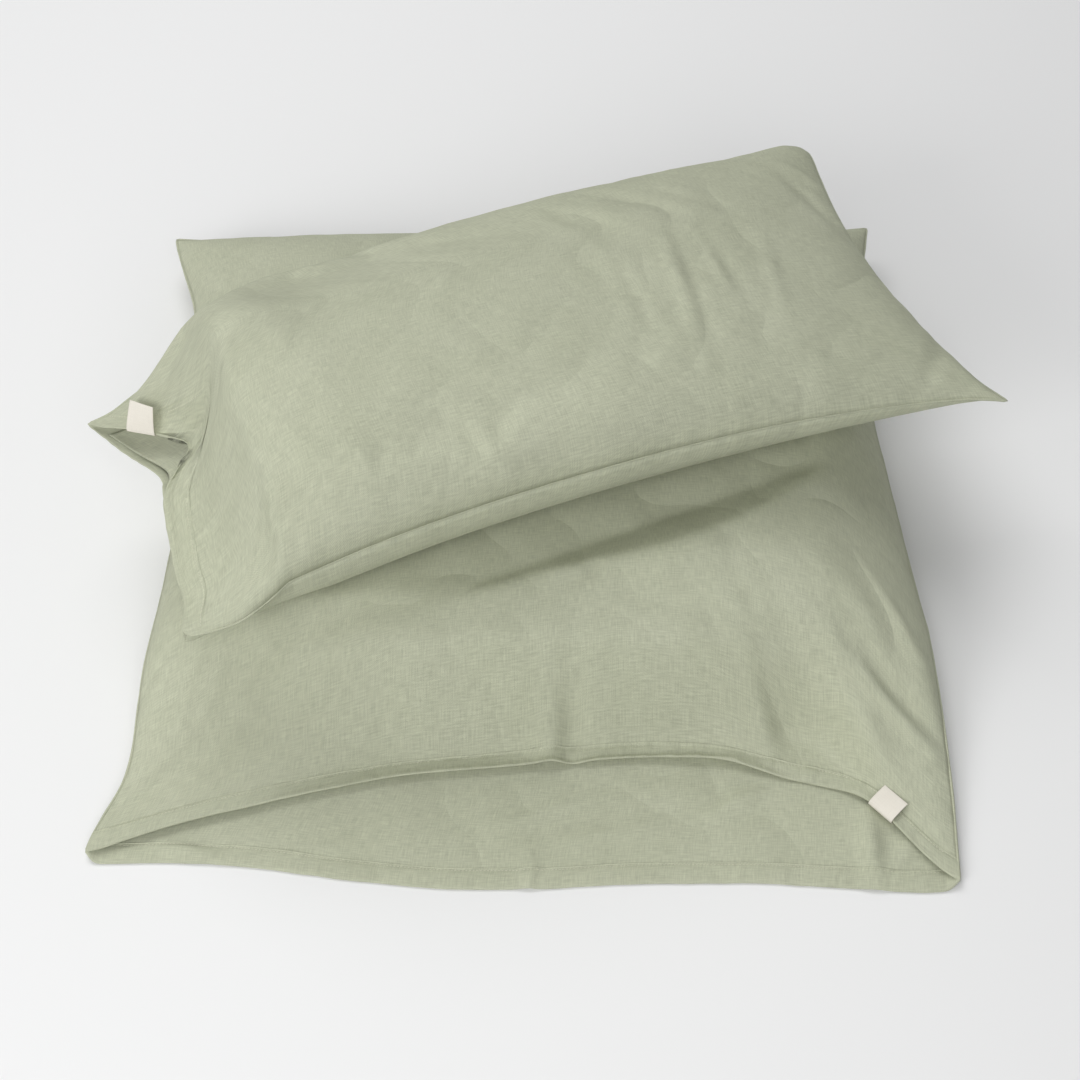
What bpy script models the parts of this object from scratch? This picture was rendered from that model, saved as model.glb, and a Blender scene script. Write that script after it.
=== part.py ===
"""Small duvet in a linen cover, with a pillow in its case lying across it.

Both covers are the same kind of thing: a top and a bottom panel, sewn on three sides, hemmed
and open at the mouth, and drawn over a filled insert.  One class, Case, gives the laid and
filled shape of such a cover as two grids of points, and every piece is built on those points:
the panels on them, the inserts inside them, the threads, seams and labels along them.
"""
import math

import bmesh
import bpy
from mathutils import Vector

# %% Driving dimensions, in metres

CLOTH = 0.0012             # linen panels
TICKING = 0.0010           # cotton shells of the inserts
GAP = 0.0004               # clearance between pieces that touch
HEM_DEPTH = 0.020          # hem at each mouth
SEAM_RADIUS = 0.0016       # sewn edge, as a bead
SEAM_CLEARANCE = 0.0007    # bead from the panels' outer faces
THREAD_RADIUS = 0.0005
PIPING_RADIUS = 0.0020

LABEL_WIDTH = 0.028
LABEL_DEPTH = 0.028        # each leg of the label, which is folded over the hem
LABEL_THICKNESS = 0.0006

# Duvet cover as it lies, filled
COVER_MOUTH_WIDTH = 0.776
COVER_FOOT_WIDTH = 0.748
COVER_LEFT_DEPTH = 0.736
COVER_RIGHT_DEPTH = 0.772
COVER_LEFT_PULL = 0.042    # how far the filling draws each edge in
COVER_RIGHT_PULL = 0.026
COVER_FOOT_PULL = 0.012
COVER_HEM_RETREAT = 0.120  # how far the top hem lies behind the bottom hem
COVER_HEM_CURVES = (2.0, 2.0)   # bow of the top hem, left and right: higher is boxier
COVER_EMPTY = 0.178        # from the bottom hem to the insert
COVER_MOUTH_SEAM = 0.008   # height of the side seams at the mouth
COVER_SEAM = 0.044         # height of the side seams beside the insert
COVER_MOUTH_LIFT = 0.018   # top hem above the side seams
COVER_RISE = 0.122         # crown above the side seams
COVER_DROP = 0.095         # how far the bottom would hang under the seams in the air
COVER_FRONT_RISE = 0.67    # share of the full height reached where the insert starts
COVER_LABEL_OFFSET = 0.046 # label from the right end of the hem

BAFFLE_THICKNESS = 0.0010
QUILT_DIP = 0.008          # shell drawn in at the baffles
CHAMBERS = 3               # per side
CELLS_PER_CHAMBER = 4
LOFT_CLEARANCE = 0.003     # soft filling under its shell
FILL_SEAT = 0.0008         # filling over the bottom shell

# Pillowcase as it lies, filled
PILLOW_REST = 0.118        # height of the duvet where the pillow presses on it
PILLOW_YAW = math.radians(23.7)   # of the long side
PILLOW_PLACE = (0.006, 0.050)
CASE_MOUTH_WIDTH = 0.282
CASE_END_WIDTH = 0.384
CASE_LENGTH = 0.782
CASE_SIDE_PULL = 0.020
CASE_END_PULL = 0.030
CASE_HEM_RETREAT = 0.035
CASE_HEM_CURVES = (2.0, 2.0)
CASE_EMPTY = 0.085
CASE_MOUTH_SEAM = 0.150
CASE_SEAM = 0.189
CASE_ARCH = 0.027          # side seams higher in the middle of their length
CASE_MOUTH_LIFT = 0.030
CASE_LIP_DROP = 0.022
CASE_RISE = 0.137
CASE_TAPER = 0.50          # share of the crown lost by the closed end
CASE_DROP = 0.115
CASE_FRONT_RISE = 0.74
CASE_LABEL_OFFSET = 0.042
CASE_CELLS = (8, 10)       # insert, across and along
FLAP_ROWS = 3              # rows of the insert that the inner flap covers

EDGE = 0.94                # insert's share of the cover's half width
FOOT_SHARE = 0.95          # insert's share of the filled length

# How full a cover is: higher is boxier
SIDE_FULLNESS = 3.0        # from side to side
END_FULLNESS = 5.0         # towards the closed end
EDGE_ROUNDNESS = 0.6       # lower is rounder at the sewn edge
CREST_SPEED = 2.0          # how soon over the insert the full height is reached

# The hollow that the pillow presses into the duvet
HOLLOW_WIDTH = 0.40        # half width, as a share of the pillow's end
HOLLOW_LENGTH = 0.45       # half length, as a share of the pillow
HOLLOW_SLOPE = 0.6

COLUMN_SPACING = 0.03      # least, between a label's side and a column of the insert
CORNER_REACH = 1.3         # piping stands out further at its corners
FOLD_REACH = 1.5           # label's fold ahead of the hem, in thicknesses of cloth
FOLD_SHOULDER = 0.6
FLAP_CLIMB = (0.0, 0.1, 0.2, 0.7)   # inner flap's share of the way up, row by row

# %% Colours: base colour, roughness, metallic

LINEN = ((0.45, 0.47, 0.36, 1.0), 0.85, 0.0)
LINEN_THREAD = ((0.62, 0.62, 0.50, 1.0), 0.70, 0.0)
COTTON = ((0.86, 0.85, 0.82, 1.0), 0.85, 0.0)
FILLING = ((0.93, 0.92, 0.90, 1.0), 0.95, 0.0)
LABEL_TAPE = ((0.85, 0.83, 0.77, 1.0), 0.60, 0.0)

# %% Scene, collections, materials

for old in list(bpy.data.objects):
    bpy.data.objects.remove(old, do_unlink=True)


def new_collection(name):
    collection = bpy.data.collections.new(name)
    bpy.context.scene.collection.children.link(collection)
    return collection


PARTS = new_collection("duvet_and_pillow")
CUTTERS = new_collection("cutters")


def new_empty(name, parent=None):
    empty = bpy.data.objects.new(name, None)
    PARTS.objects.link(empty)
    empty.parent = parent
    return empty


def new_material(name, look):
    colour, roughness, metallic = look
    material = bpy.data.materials.new(name)
    material.use_nodes = True
    shader = material.node_tree.nodes["Principled BSDF"]
    shader.inputs["Base Color"].default_value = colour
    shader.inputs["Roughness"].default_value = roughness
    shader.inputs["Metallic"].default_value = metallic
    return material


def new_part(name, data, parent, look, collection=PARTS):
    part = bpy.data.objects.new(name, data)
    collection.objects.link(part)
    part.parent = parent
    data.materials.append(new_material(name, look))
    return part


# %% The laid and filled shape of a cover

def blend(start, end, share):
    return start + (end - start) * share


def smooth(share):
    share = min(max(share, 0.0), 1.0)
    return share * share * (3.0 - 2.0 * share)


def bulge(share, fullness):
    """1 in the middle of a filled span and 0 at its sewn edge, where share is 1."""
    return max(0.0, 1.0 - abs(share) ** fullness) ** EDGE_ROUNDNESS


class Case:
    """A cover with its mouth towards -Y, closed at +Y, as two grids of points.

    A place on it is u, from -1 to 1 across, and a row: a distance behind the hem and a share
    of what is left, 0 to 1 over the empty stretch and 1 to 2 over the insert.
    """

    def __init__(self, mouth_width, end_width, depths, pulls, end_pull, retreats, hem_curves,
                 empty, front_rise, seams, lifts, drops, floor, ceiling=None, arch=0.0, taper=0.0):
        self.widths = (mouth_width / 2, end_width / 2)
        self.depths = depths          # left, right
        self.pulls = pulls            # left, right
        self.end_pull = end_pull
        self.retreats = retreats      # top hem, bottom hem
        self.hem_curves = hem_curves  # left, right
        self.empty = empty
        self.front_rise = front_rise  # share of the rise that is reached at the insert
        self.seams = seams            # height at the mouth, beside the insert
        self.lifts = lifts            # top above the seams: at the mouth, over the insert
        self.drops = drops            # bottom under the seams: the same two
        self.floor = floor            # lowest inner face of the bottom panel
        self.ceiling = ceiling        # what presses on the top, as a height over (x, y)
        self.arch = arch              # seams higher in the middle of their length
        self.taper = taper            # share of the lift lost by the closed end

    def half_depth(self, u):
        return blend(self.depths[0], self.depths[1], (u + 1) / 2) / 2

    def place(self, u, row, retreat):
        """x, y, seam height, share of the rise from the mouth and of the way to the end."""
        distance, share = row
        hem = -self.half_depth(u) + retreat * (1 - abs(u) ** self.hem_curves[u > 0])
        front = -self.half_depth(u) + self.empty
        end = self.half_depth(u) - self.end_pull * (1 - u * u)
        if share <= 1:
            y = hem + distance + share * (front - hem - distance)
            rise = (y - hem) / (front - hem) * self.front_rise
            fall = 0.0
        else:
            fall = share - 1
            y = blend(front, end, fall)
            rise = self.front_rise + fall * CREST_SPEED
        along = y / self.half_depth(u)
        half_width = blend(self.widths[0], self.widths[1], (along + 1) / 2)
        pull = self.pulls[0] if u < 0 else self.pulls[1]
        x = u * (half_width - pull * (1 - abs(along) ** 3))
        rise = smooth(rise)
        seam = blend(self.seams[0], self.seams[1], rise) + self.arch * (1 - along ** 2)
        return x, y, seam, rise, fall

    def top(self, u, row):
        x, y, seam, rise, fall = self.place(u, row, self.retreats[0])
        lift = blend(self.lifts[0], self.lifts[1] * (1 - self.taper * fall), rise)
        z = seam + GAP / 2 + lift * bulge(u, SIDE_FULLNESS) * bulge(fall, END_FULLNESS)
        if self.ceiling:
            z = max(min(z, self.ceiling(x, y)), seam + GAP / 2)
        return Vector((x, y, z))

    def bottom(self, u, row):
        x, y, seam, rise, fall = self.place(u, row, self.retreats[1])
        drop = blend(self.drops[0], self.drops[1], rise)
        z = seam - GAP / 2 - drop * bulge(u, SIDE_FULLNESS) * bulge(fall, END_FULLNESS)
        return Vector((x, y, max(z, self.floor)))

    def grid(self, surface, columns, rows):
        return [[surface(u, row) for row in rows] for u in columns]


def columns_across(cells, label_start, label_end):
    """Shares across a cover: its edges, the insert's cells and the label's two sides."""
    inner = [EDGE * (2 * i / cells - 1) for i in range(1, cells)]
    inner = [u for u in inner
             if min(abs(u - label_start), abs(u - label_end)) > COLUMN_SPACING]
    return sorted([-1.0, -EDGE, EDGE, 1.0, label_start, label_end] + inner)


def rows_along(cells):
    """Rows from the mouth to the closed end; the insert starts at row INSERT_ROW."""
    front = [(0.0, 0.0), (HEM_DEPTH, 0.0), (LABEL_DEPTH, 0.0), (LABEL_DEPTH, 0.5)]
    return front + [(0.0, 1 + FOOT_SHARE * i / cells) for i in range(cells + 1)] + [(0.0, 2.0)]


INSERT_ROW = 4


def nearest(values, target):
    return min(range(len(values)), key=lambda i: abs(values[i] - target))


# %% Working on grids of points

def normals(points):
    """Unit normals of a grid of points, up for a grid that is seen from above."""
    across, along = len(points), len(points[0])
    result = []
    for i in range(across):
        line = []
        for j in range(along):
            side = points[min(i + 1, across - 1)][j] - points[max(i - 1, 0)][j]
            front = points[i][min(j + 1, along - 1)] - points[i][max(j - 1, 0)]
            line.append(side.cross(front).normalized())
        result.append(line)
    return result


def shifted(points, distance):
    """The grid moved along its own normals."""
    directions = normals(points)
    return [[point + direction * distance for point, direction in zip(line, turned)]
            for line, turned in zip(points, directions)]


def part_of(points, columns, rows):
    return [line[rows[0]:rows[1]] for line in points[columns[0]:columns[1]]]


def grid_mesh(name, points, flipped=False):
    """A primitive grid, moved onto the points."""
    across, along = len(points) - 1, len(points[0]) - 1
    bm = bmesh.new()
    bmesh.ops.create_grid(bm, x_segments=across, y_segments=along, size=1.0)
    for vertex in bm.verts:
        i = round((vertex.co.x + 1) / 2 * across)
        j = round((vertex.co.y + 1) / 2 * along)
        vertex.co = points[i][j]
    if flipped:
        bmesh.ops.reverse_faces(bm, faces=bm.faces)
    mesh = bpy.data.meshes.new(name)
    bm.to_mesh(mesh)
    bm.free()
    return mesh


# %% Kinds of piece

def add_cloth(name, points, thickness, parent, look, underside=False, offset=1.0,
              collection=PARTS):
    """A thin panel that grows outwards from its inner face."""
    part = new_part(name, grid_mesh(name, points, underside), parent, look, collection)
    part.data.shade_smooth()
    triangles = part.modifiers.new("Triangles", "TRIANGULATE")
    triangles.quad_method = "FIXED"
    shell = part.modifiers.new("Cloth", "SOLIDIFY")
    shell.thickness = thickness
    shell.offset = offset
    return part


def add_line(name, points, radius, parent, look, closed=False):
    """A round bead or thread through the points."""
    curve = bpy.data.curves.new(name, "CURVE")
    curve.dimensions = "3D"
    curve.bevel_depth = radius
    curve.bevel_resolution = 1
    curve.use_fill_caps = not closed
    spline = curve.splines.new("POLY")
    spline.points.add(len(points) - 1)
    for target, point in zip(spline.points, points):
        target.co = (*point, 1.0)
    spline.use_cyclic_u = closed
    return new_part(name, curve, parent, look)


def add_filling(name, lower, upper, parent):
    """Soft filling between two grids of points, straight at its sides."""
    across, along = len(lower) - 1, len(lower[0]) - 1
    bm = bmesh.new()
    bmesh.ops.create_grid(bm, x_segments=across, y_segments=along, size=1.0)
    raised = bmesh.ops.extrude_face_region(bm, geom=bm.faces[:], use_keep_orig=True)
    for item in raised["geom"]:
        if isinstance(item, bmesh.types.BMVert):
            item.co.z = 1.0
    for vertex in bm.verts:
        i = round((vertex.co.x + 1) / 2 * across)
        j = round((vertex.co.y + 1) / 2 * along)
        vertex.co = upper[i][j] if vertex.co.z > 0.5 else lower[i][j]
    bmesh.ops.recalc_face_normals(bm, faces=bm.faces)
    mesh = bpy.data.meshes.new(name)
    bm.to_mesh(mesh)
    bm.free()
    return new_part(name, mesh, parent, FILLING)


# %% Cover: panels, sewn edges, hem threads, label

def outward(points, i, j, i_inner, j_inner, distance):
    """A grid's edge point moved level, away from the point next to it inside."""
    direction = points[i][j] - points[i_inner][j_inner]
    direction.z = 0
    return points[i][j] + direction.normalized() * distance


def add_sewn_edges(prefix, names, top, parent):
    """Beads along the left, right and closed edges, outside both panels."""
    face = shifted(top, CLOTH)
    reach = SEAM_CLEARANCE + SEAM_RADIUS
    last_column, last_row = len(top) - 1, len(top[0]) - 1
    left = [outward(face, 0, j, 1, j, reach) for j in range(last_row)]
    right = [outward(face, last_column, j, last_column - 1, j, reach) for j in range(last_row)]
    closed = [outward(face, i, last_row, i, last_row - 1, reach)
              for i in range(last_column + 1)]
    edges = top[0][:-1], top[-1][:-1], [column[-1] for column in top]
    for name, line, edge in zip(names, (left, right, closed), edges):
        level = [Vector((point.x, point.y, place.z - GAP / 2))
                 for point, place in zip(line, edge)]
        add_line(f"{prefix}_{name}", level, SEAM_RADIUS, parent, LINEN)


def add_hem_threads(prefix, top, bottom, parent):
    """The sewing thread of each hem: on the outside of the top, on the inside of the bottom."""
    above = shifted(top, CLOTH + GAP + THREAD_RADIUS)
    inside = shifted(bottom, GAP + THREAD_RADIUS)
    for name, points in (("top", above), ("bottom", inside)):
        line = [column[1] for column in points[1:-1]]
        add_line(f"{prefix}_{name}_hem_thread", line, THREAD_RADIUS, parent, LINEN_THREAD)


def add_label(name, top, column, parent):
    """A tape folded over the top hem, its legs outside and inside the panel."""
    outer = shifted(top, CLOTH + 2 * GAP + 2 * THREAD_RADIUS)
    inner = shifted(top, -GAP)
    strip = []
    for i in (column, column + 1):
        over, under = outer[i], inner[i]
        ahead = (over[0] - over[1]).normalized() * (CLOTH + GAP)
        fold = (over[0] + under[0]) / 2 + ahead * FOLD_REACH
        strip.append([under[2], under[1], under[0] + ahead * FOLD_SHOULDER, fold,
                      over[0] + ahead * FOLD_SHOULDER, over[1], over[2]])
    add_cloth(name, strip, LABEL_THICKNESS, parent, LABEL_TAPE)


# %% Insert: shells, piping

def insert_shells(top, bottom, over_top, dips=()):
    """Inner faces of an insert's shells, inside a cover's panels, closed at their edges.

    dips are the (columns, rows) where the top shell is drawn in.
    """
    columns = (1, len(top) - 1)
    rows = (INSERT_ROW, len(top[0]) - 1)
    upper = part_of(shifted(top, -over_top - GAP - TICKING), columns, rows)
    lower = part_of(shifted(bottom, GAP + TICKING), columns, rows)
    last_column, last_row = len(upper) - 1, len(upper[0]) - 1
    for i in range(last_column + 1):
        for j in range(last_row + 1):
            if i in (0, last_column) or j in (0, last_row):
                middle = (upper[i][j] + lower[i][j]) / 2
                upper[i][j] = middle + Vector((0, 0, GAP / 2))
                lower[i][j] = middle - Vector((0, 0, GAP / 2))
            elif dips and (i in dips[0] or j in dips[1]):
                upper[i][j] = upper[i][j] - Vector((0, 0, QUILT_DIP))
    return upper, lower


def add_piping(name, shell, parent):
    """A closed bead round the edge where an insert's shells meet."""
    reach = TICKING + GAP + PIPING_RADIUS
    last_column, last_row = len(shell) - 1, len(shell[0]) - 1
    left = [outward(shell, 0, j, 1, j, reach) for j in range(1, last_row)]
    right = [outward(shell, last_column, j, last_column - 1, j, reach)
             for j in range(1, last_row)]
    front = [outward(shell, i, 0, i, 1, reach) for i in range(1, last_column)]
    back = [outward(shell, i, last_row, i, last_row - 1, reach) for i in range(1, last_column)]
    corners = [outward(shell, i, j, abs(i - 1), abs(j - 1), reach * CORNER_REACH)
               for i, j in ((0, 0), (last_column, 0), (last_column, last_row), (0, last_row))]
    loop = (corners[:1] + front + corners[1:2] + right + corners[2:3] + back[::-1]
            + corners[3:] + left[::-1])
    level = [point - Vector((0, 0, GAP / 2)) for point in loop]
    add_line(name, level, PIPING_RADIUS, parent, COTTON, closed=True)


# %% Duvet insert: baffles and filling

def add_baffles(name, upper, lower, columns, rows, parent):
    """Upright cloth walls between the chambers, crossing and sewn to each other."""
    ceiling = shifted(upper, -GAP)
    ground = shifted(lower, GAP)
    walls = []
    for i in columns:
        walls.append([[ground[i][j], ceiling[i][j]] for j in range(1, len(upper[0]) - 1)])
    for j in rows:
        walls.append([[ground[i][j], ceiling[i][j]] for i in range(1, len(upper) - 1)])
    parts = []
    for number, wall in enumerate(walls):
        first = number == 0
        part_name = name if first else f"{name}_wall_{number}"
        part = add_cloth(part_name, wall, BAFFLE_THICKNESS, parent, COTTON, offset=0.0,
                         collection=PARTS if first else CUTTERS)
        parts.append(part)
    order = [len(columns)] + [n for n in range(1, len(walls)) if n != len(columns)]
    for number in order:
        other = parts[number]
        other.hide_render = True
        other.display_type = "WIRE"
        join = parts[0].modifiers.new(f"Join {number}", "BOOLEAN")
        join.operation = "UNION"
        join.solver = "EXACT"
        join.object = other


def add_chamber_fillings(prefix, upper, lower, columns, rows, parent):
    """One soft block in each chamber, clear of the baffles on its sides."""
    roof = [[point - Vector((0, 0, LOFT_CLEARANCE)) for point in line] for line in upper]
    seat = [[point + Vector((0, 0, FILL_SEAT)) for point in line] for line in lower]
    inset = BAFFLE_THICKNESS / 2 + 2 * GAP
    column_ends = [1] + columns + [len(upper) - 2]
    row_ends = [1] + rows + [len(upper[0]) - 2]
    for a in range(CHAMBERS):
        for b in range(CHAMBERS):
            span = (column_ends[a], column_ends[a + 1] + 1), (row_ends[b], row_ends[b + 1] + 1)
            low, high = (drawn_in(part_of(grid, *span), inset) for grid in (seat, roof))
            add_filling(f"{prefix}_{a + 1}_{b + 1}", low, high, parent)


def drawn_in(points, inset):
    """A grid whose four edges are moved inwards, level."""
    last_column, last_row = len(points) - 1, len(points[0]) - 1
    result = []
    for i, line in enumerate(points):
        across = inset * ((i == 0) - (i == last_column))
        result.append([point + Vector((across, inset * ((j == 0) - (j == last_row)), 0))
                       for j, point in enumerate(line)])
    return result


# %% The pillow's footprint on the duvet

def pillow_frame(x, y):
    """A place on the duvet in the pillow's own axes: across, along."""
    dx, dy = x - PILLOW_PLACE[0], y - PILLOW_PLACE[1]
    along = dx * math.cos(PILLOW_YAW) + dy * math.sin(PILLOW_YAW)
    across = dx * math.sin(PILLOW_YAW) - dy * math.cos(PILLOW_YAW)
    return across, along


def pressed_height(x, y):
    """How high the duvet may stand: level under the pillow, rising beside it."""
    across, along = pillow_frame(x, y)
    beside = max(abs(across) - CASE_END_WIDTH * HOLLOW_WIDTH, 0.0)
    beyond = max(abs(along) - CASE_LENGTH * HOLLOW_LENGTH, 0.0)
    return PILLOW_REST - CLOTH - GAP + HOLLOW_SLOPE * math.hypot(beside, beyond)


# %% Duvet

assembly = new_empty("assembly")
duvet = new_empty("duvet", assembly)

cover = Case(
    COVER_MOUTH_WIDTH, COVER_FOOT_WIDTH,
    depths=(COVER_LEFT_DEPTH, COVER_RIGHT_DEPTH), pulls=(COVER_LEFT_PULL, COVER_RIGHT_PULL),
    end_pull=COVER_FOOT_PULL, retreats=(COVER_HEM_RETREAT, 0.0),
    hem_curves=COVER_HEM_CURVES, empty=COVER_EMPTY, front_rise=COVER_FRONT_RISE,
    seams=(COVER_MOUTH_SEAM, COVER_SEAM), lifts=(COVER_MOUTH_LIFT, COVER_RISE),
    drops=(COVER_DROP, COVER_DROP), floor=CLOTH, ceiling=pressed_height)

cover_label_end = 1 - 2 * COVER_LABEL_OFFSET / COVER_MOUTH_WIDTH
cover_label_start = cover_label_end - 2 * LABEL_WIDTH / COVER_MOUTH_WIDTH
cover_columns = columns_across(CHAMBERS * CELLS_PER_CHAMBER, cover_label_start,
                               cover_label_end)
cover_rows = rows_along(CHAMBERS * CELLS_PER_CHAMBER)
cover_top = cover.grid(cover.top, cover_columns, cover_rows)
cover_bottom = cover.grid(cover.bottom, cover_columns, cover_rows)

add_cloth("cover_top_panel", cover_top, CLOTH, duvet, LINEN)
add_cloth("cover_bottom_panel", cover_bottom, CLOTH, duvet, LINEN, underside=True)
add_sewn_edges("cover", ("left_seam", "right_seam", "foot_seam"), cover_top, duvet)
add_hem_threads("cover", cover_top, cover_bottom, duvet)
add_label("cover_label", cover_top, nearest(cover_columns, cover_label_start), duvet)

insert_columns = cover_columns[1:-1]
chamber_edges = [EDGE * (2 * n / CHAMBERS - 1) for n in range(1, CHAMBERS)]
baffle_columns = [nearest(insert_columns, edge) for edge in chamber_edges]
baffle_rows = [n * CELLS_PER_CHAMBER for n in range(1, CHAMBERS)]
duvet_upper, duvet_lower = insert_shells(cover_top, cover_bottom, 0.0,
                                         (baffle_columns, baffle_rows))
add_cloth("duvet_top_shell", duvet_upper, TICKING, duvet, COTTON)
add_cloth("duvet_bottom_shell", duvet_lower, TICKING, duvet, COTTON, underside=True)
add_piping("duvet_piping", duvet_upper, duvet)
add_baffles("duvet_baffles", duvet_upper, duvet_lower, baffle_columns, baffle_rows, duvet)
add_chamber_fillings("duvet_filling", duvet_upper, duvet_lower, baffle_columns, baffle_rows,
                     duvet)

# %% Pillow, in its own axes with the mouth towards -Y

pillow = new_empty("pillow", assembly)
pillow.location = (*PILLOW_PLACE, 0.0)
pillow.rotation_euler.z = PILLOW_YAW - math.pi / 2

case = Case(
    CASE_MOUTH_WIDTH, CASE_END_WIDTH,
    depths=(CASE_LENGTH, CASE_LENGTH), pulls=(CASE_SIDE_PULL, CASE_SIDE_PULL),
    end_pull=CASE_END_PULL, retreats=(CASE_HEM_RETREAT, 0.0),
    hem_curves=CASE_HEM_CURVES, empty=CASE_EMPTY, front_rise=CASE_FRONT_RISE,
    arch=CASE_ARCH, taper=CASE_TAPER,
    seams=(CASE_MOUTH_SEAM, CASE_SEAM), lifts=(CASE_MOUTH_LIFT, CASE_RISE),
    drops=(CASE_LIP_DROP, CASE_DROP), floor=PILLOW_REST + CLOTH)

case_label_start = 2 * CASE_LABEL_OFFSET / CASE_MOUTH_WIDTH - 1
case_label_end = case_label_start + 2 * LABEL_WIDTH / CASE_MOUTH_WIDTH
case_columns = columns_across(CASE_CELLS[0], case_label_start, case_label_end)
case_rows = rows_along(CASE_CELLS[1])
case_top = case.grid(case.top, case_columns, case_rows)
case_bottom = case.grid(case.bottom, case_columns, case_rows)

add_cloth("pillowcase_top_panel", case_top, CLOTH, pillow, LINEN)
add_cloth("pillowcase_bottom_panel", case_bottom, CLOTH, pillow, LINEN, underside=True)
add_sewn_edges("pillowcase", ("back_seam", "front_seam", "end_seam"), case_top, pillow)
add_hem_threads("pillowcase", case_top, case_bottom, pillow)
add_label("pillowcase_label", case_top, nearest(case_columns, case_label_start), pillow)


def add_inner_flap(name, top, bottom, parent):
    """A flap from the bottom lip up over the end of the insert, under the top panel."""
    roof = shifted(top, -GAP - CLOTH)
    ground = shifted(bottom, 2 * GAP + 2 * THREAD_RADIUS)
    points = []
    for high, low in zip(roof[1:-1], ground[1:-1]):
        slope = [low[j].lerp(high[j], FLAP_CLIMB[j]) for j in range(INSERT_ROW)]
        points.append(slope + high[INSERT_ROW:INSERT_ROW + FLAP_ROWS + 1])
    add_cloth(name, points, CLOTH, parent, LINEN)


add_inner_flap("pillowcase_inner_flap", case_top, case_bottom, pillow)
pillow_upper, pillow_lower = insert_shells(case_top, case_bottom, CLOTH + GAP)
add_cloth("pillow_top_shell", pillow_upper, TICKING, pillow, COTTON)
add_cloth("pillow_bottom_shell", pillow_lower, TICKING, pillow, COTTON, underside=True)
add_piping("pillow_piping", pillow_upper, pillow)
core_span = (1, len(pillow_upper) - 1), (1, len(pillow_upper[0]) - 1)
core_roof = [[point - Vector((0, 0, LOFT_CLEARANCE)) for point in line]
             for line in part_of(pillow_upper, *core_span)]
core_seat = [[point + Vector((0, 0, FILL_SEAT)) for point in line]
             for line in part_of(pillow_lower, *core_span)]
add_filling("pillow_filling", core_seat, core_roof, pillow)

# %% The origin lies under the middle of the whole

bpy.context.view_layer.update()
graph = bpy.context.evaluated_depsgraph_get()
points = []
for item in PARTS.objects:
    if item.type != "EMPTY":
        shape = item.evaluated_get(graph)
        points += [item.matrix_world @ vertex.co for vertex in shape.to_mesh().vertices]
        shape.to_mesh_clear()
middle = [(min(p[k] for p in points) + max(p[k] for p in points)) / 2 for k in (0, 1)]
assembly.location = (-middle[0], -middle[1], 0.0)
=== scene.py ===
# %% [markdown]
# # A small duvet and a pillow, both in washed linen
#
# The lower piece is a square duvet in a cover whose mouth is at the front.  Its top panel stops
# short of the bottom one, so the hem shows.  The pillow lies slantwise on it, in a case of the
# same linen, with its own mouth at the left.  Every visible surface here is cloth, so the
# lesson is about cloth: its laid shape, its settling under its filling, its hems, its sewing
# and its weave.

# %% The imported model
import math

import bmesh
import bpy
import numpy as np
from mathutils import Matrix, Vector


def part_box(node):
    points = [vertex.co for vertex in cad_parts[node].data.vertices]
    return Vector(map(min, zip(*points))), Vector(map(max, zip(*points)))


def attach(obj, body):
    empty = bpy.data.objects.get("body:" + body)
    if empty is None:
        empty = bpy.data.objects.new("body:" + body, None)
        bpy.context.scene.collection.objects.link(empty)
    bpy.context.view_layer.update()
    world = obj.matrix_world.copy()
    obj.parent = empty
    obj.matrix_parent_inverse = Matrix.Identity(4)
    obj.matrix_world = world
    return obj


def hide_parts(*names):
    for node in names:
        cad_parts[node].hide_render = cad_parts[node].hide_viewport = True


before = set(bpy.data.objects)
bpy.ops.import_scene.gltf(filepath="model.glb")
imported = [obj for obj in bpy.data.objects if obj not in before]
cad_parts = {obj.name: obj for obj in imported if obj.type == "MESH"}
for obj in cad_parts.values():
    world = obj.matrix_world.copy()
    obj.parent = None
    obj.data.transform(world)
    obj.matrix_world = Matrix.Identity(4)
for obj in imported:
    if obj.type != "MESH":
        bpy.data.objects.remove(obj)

for name in ("Cube", "Camera", "Light"):
    if name in bpy.data.objects:
        bpy.data.objects.remove(bpy.data.objects[name], do_unlink=True)
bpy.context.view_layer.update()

# %% [markdown]
# ## Where the pieces lie
#
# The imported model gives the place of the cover's bottom panel, and everything on the duvet is
# measured from the middle of that panel.  The pillow has axes of its own: u runs across it and
# the mouth is at the low end of its length, turned by PILLOW_TURN.

# %% Places and cloth sizes
low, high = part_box("cover_bottom_panel")
DUVET_MIDDLE = ((low[0] + high[0]) / 2, (low[1] + high[1]) / 2)
PILLOW_MIDDLE = (DUVET_MIDDLE[0] + 0.006, DUVET_MIDDLE[1] + 0.050)
PILLOW_TURN = math.radians(23.7 - 90)
COVER_FLAT = (0.80, 0.80)
CASE_FLAT = (0.42, 0.80)
CLOTH = 0.0009             # thickness of the linen
FLOOR_GAP = 0.0006         # the lowest cloth over the floor
print("duvet's middle:", np.round(DUVET_MIDDLE, 4))
print("pillow's middle:", np.round(PILLOW_MIDDLE, 4))

# %% [markdown]
# ## The shape a filled cover takes
#
# A filled cover can be modelled by hand, lofted from sections, or written as a rule.  A rule is
# used: for each place on a panel it gives the height of the side seams, and how far the cloth
# stands above or under them.  `bulge` is the outline of a stuffed section, steep at the sewn
# edge and flat in the middle.  The cloth simulation then starts from this shape and adds some
# give and puckers; the folds and the gathers are put in after it, from a given list and at
# random.

# %% Helpers for shapes
def smooth(share):
    share = np.clip(share, 0.0, 1.0)
    return share * share * (3.0 - 2.0 * share)


def blend(start, end, share):
    return start + (end - start) * share


def bulge(share, fullness, roundness=0.6):
    return np.maximum(0.0, 1.0 - np.abs(share) ** fullness) ** roundness


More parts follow.
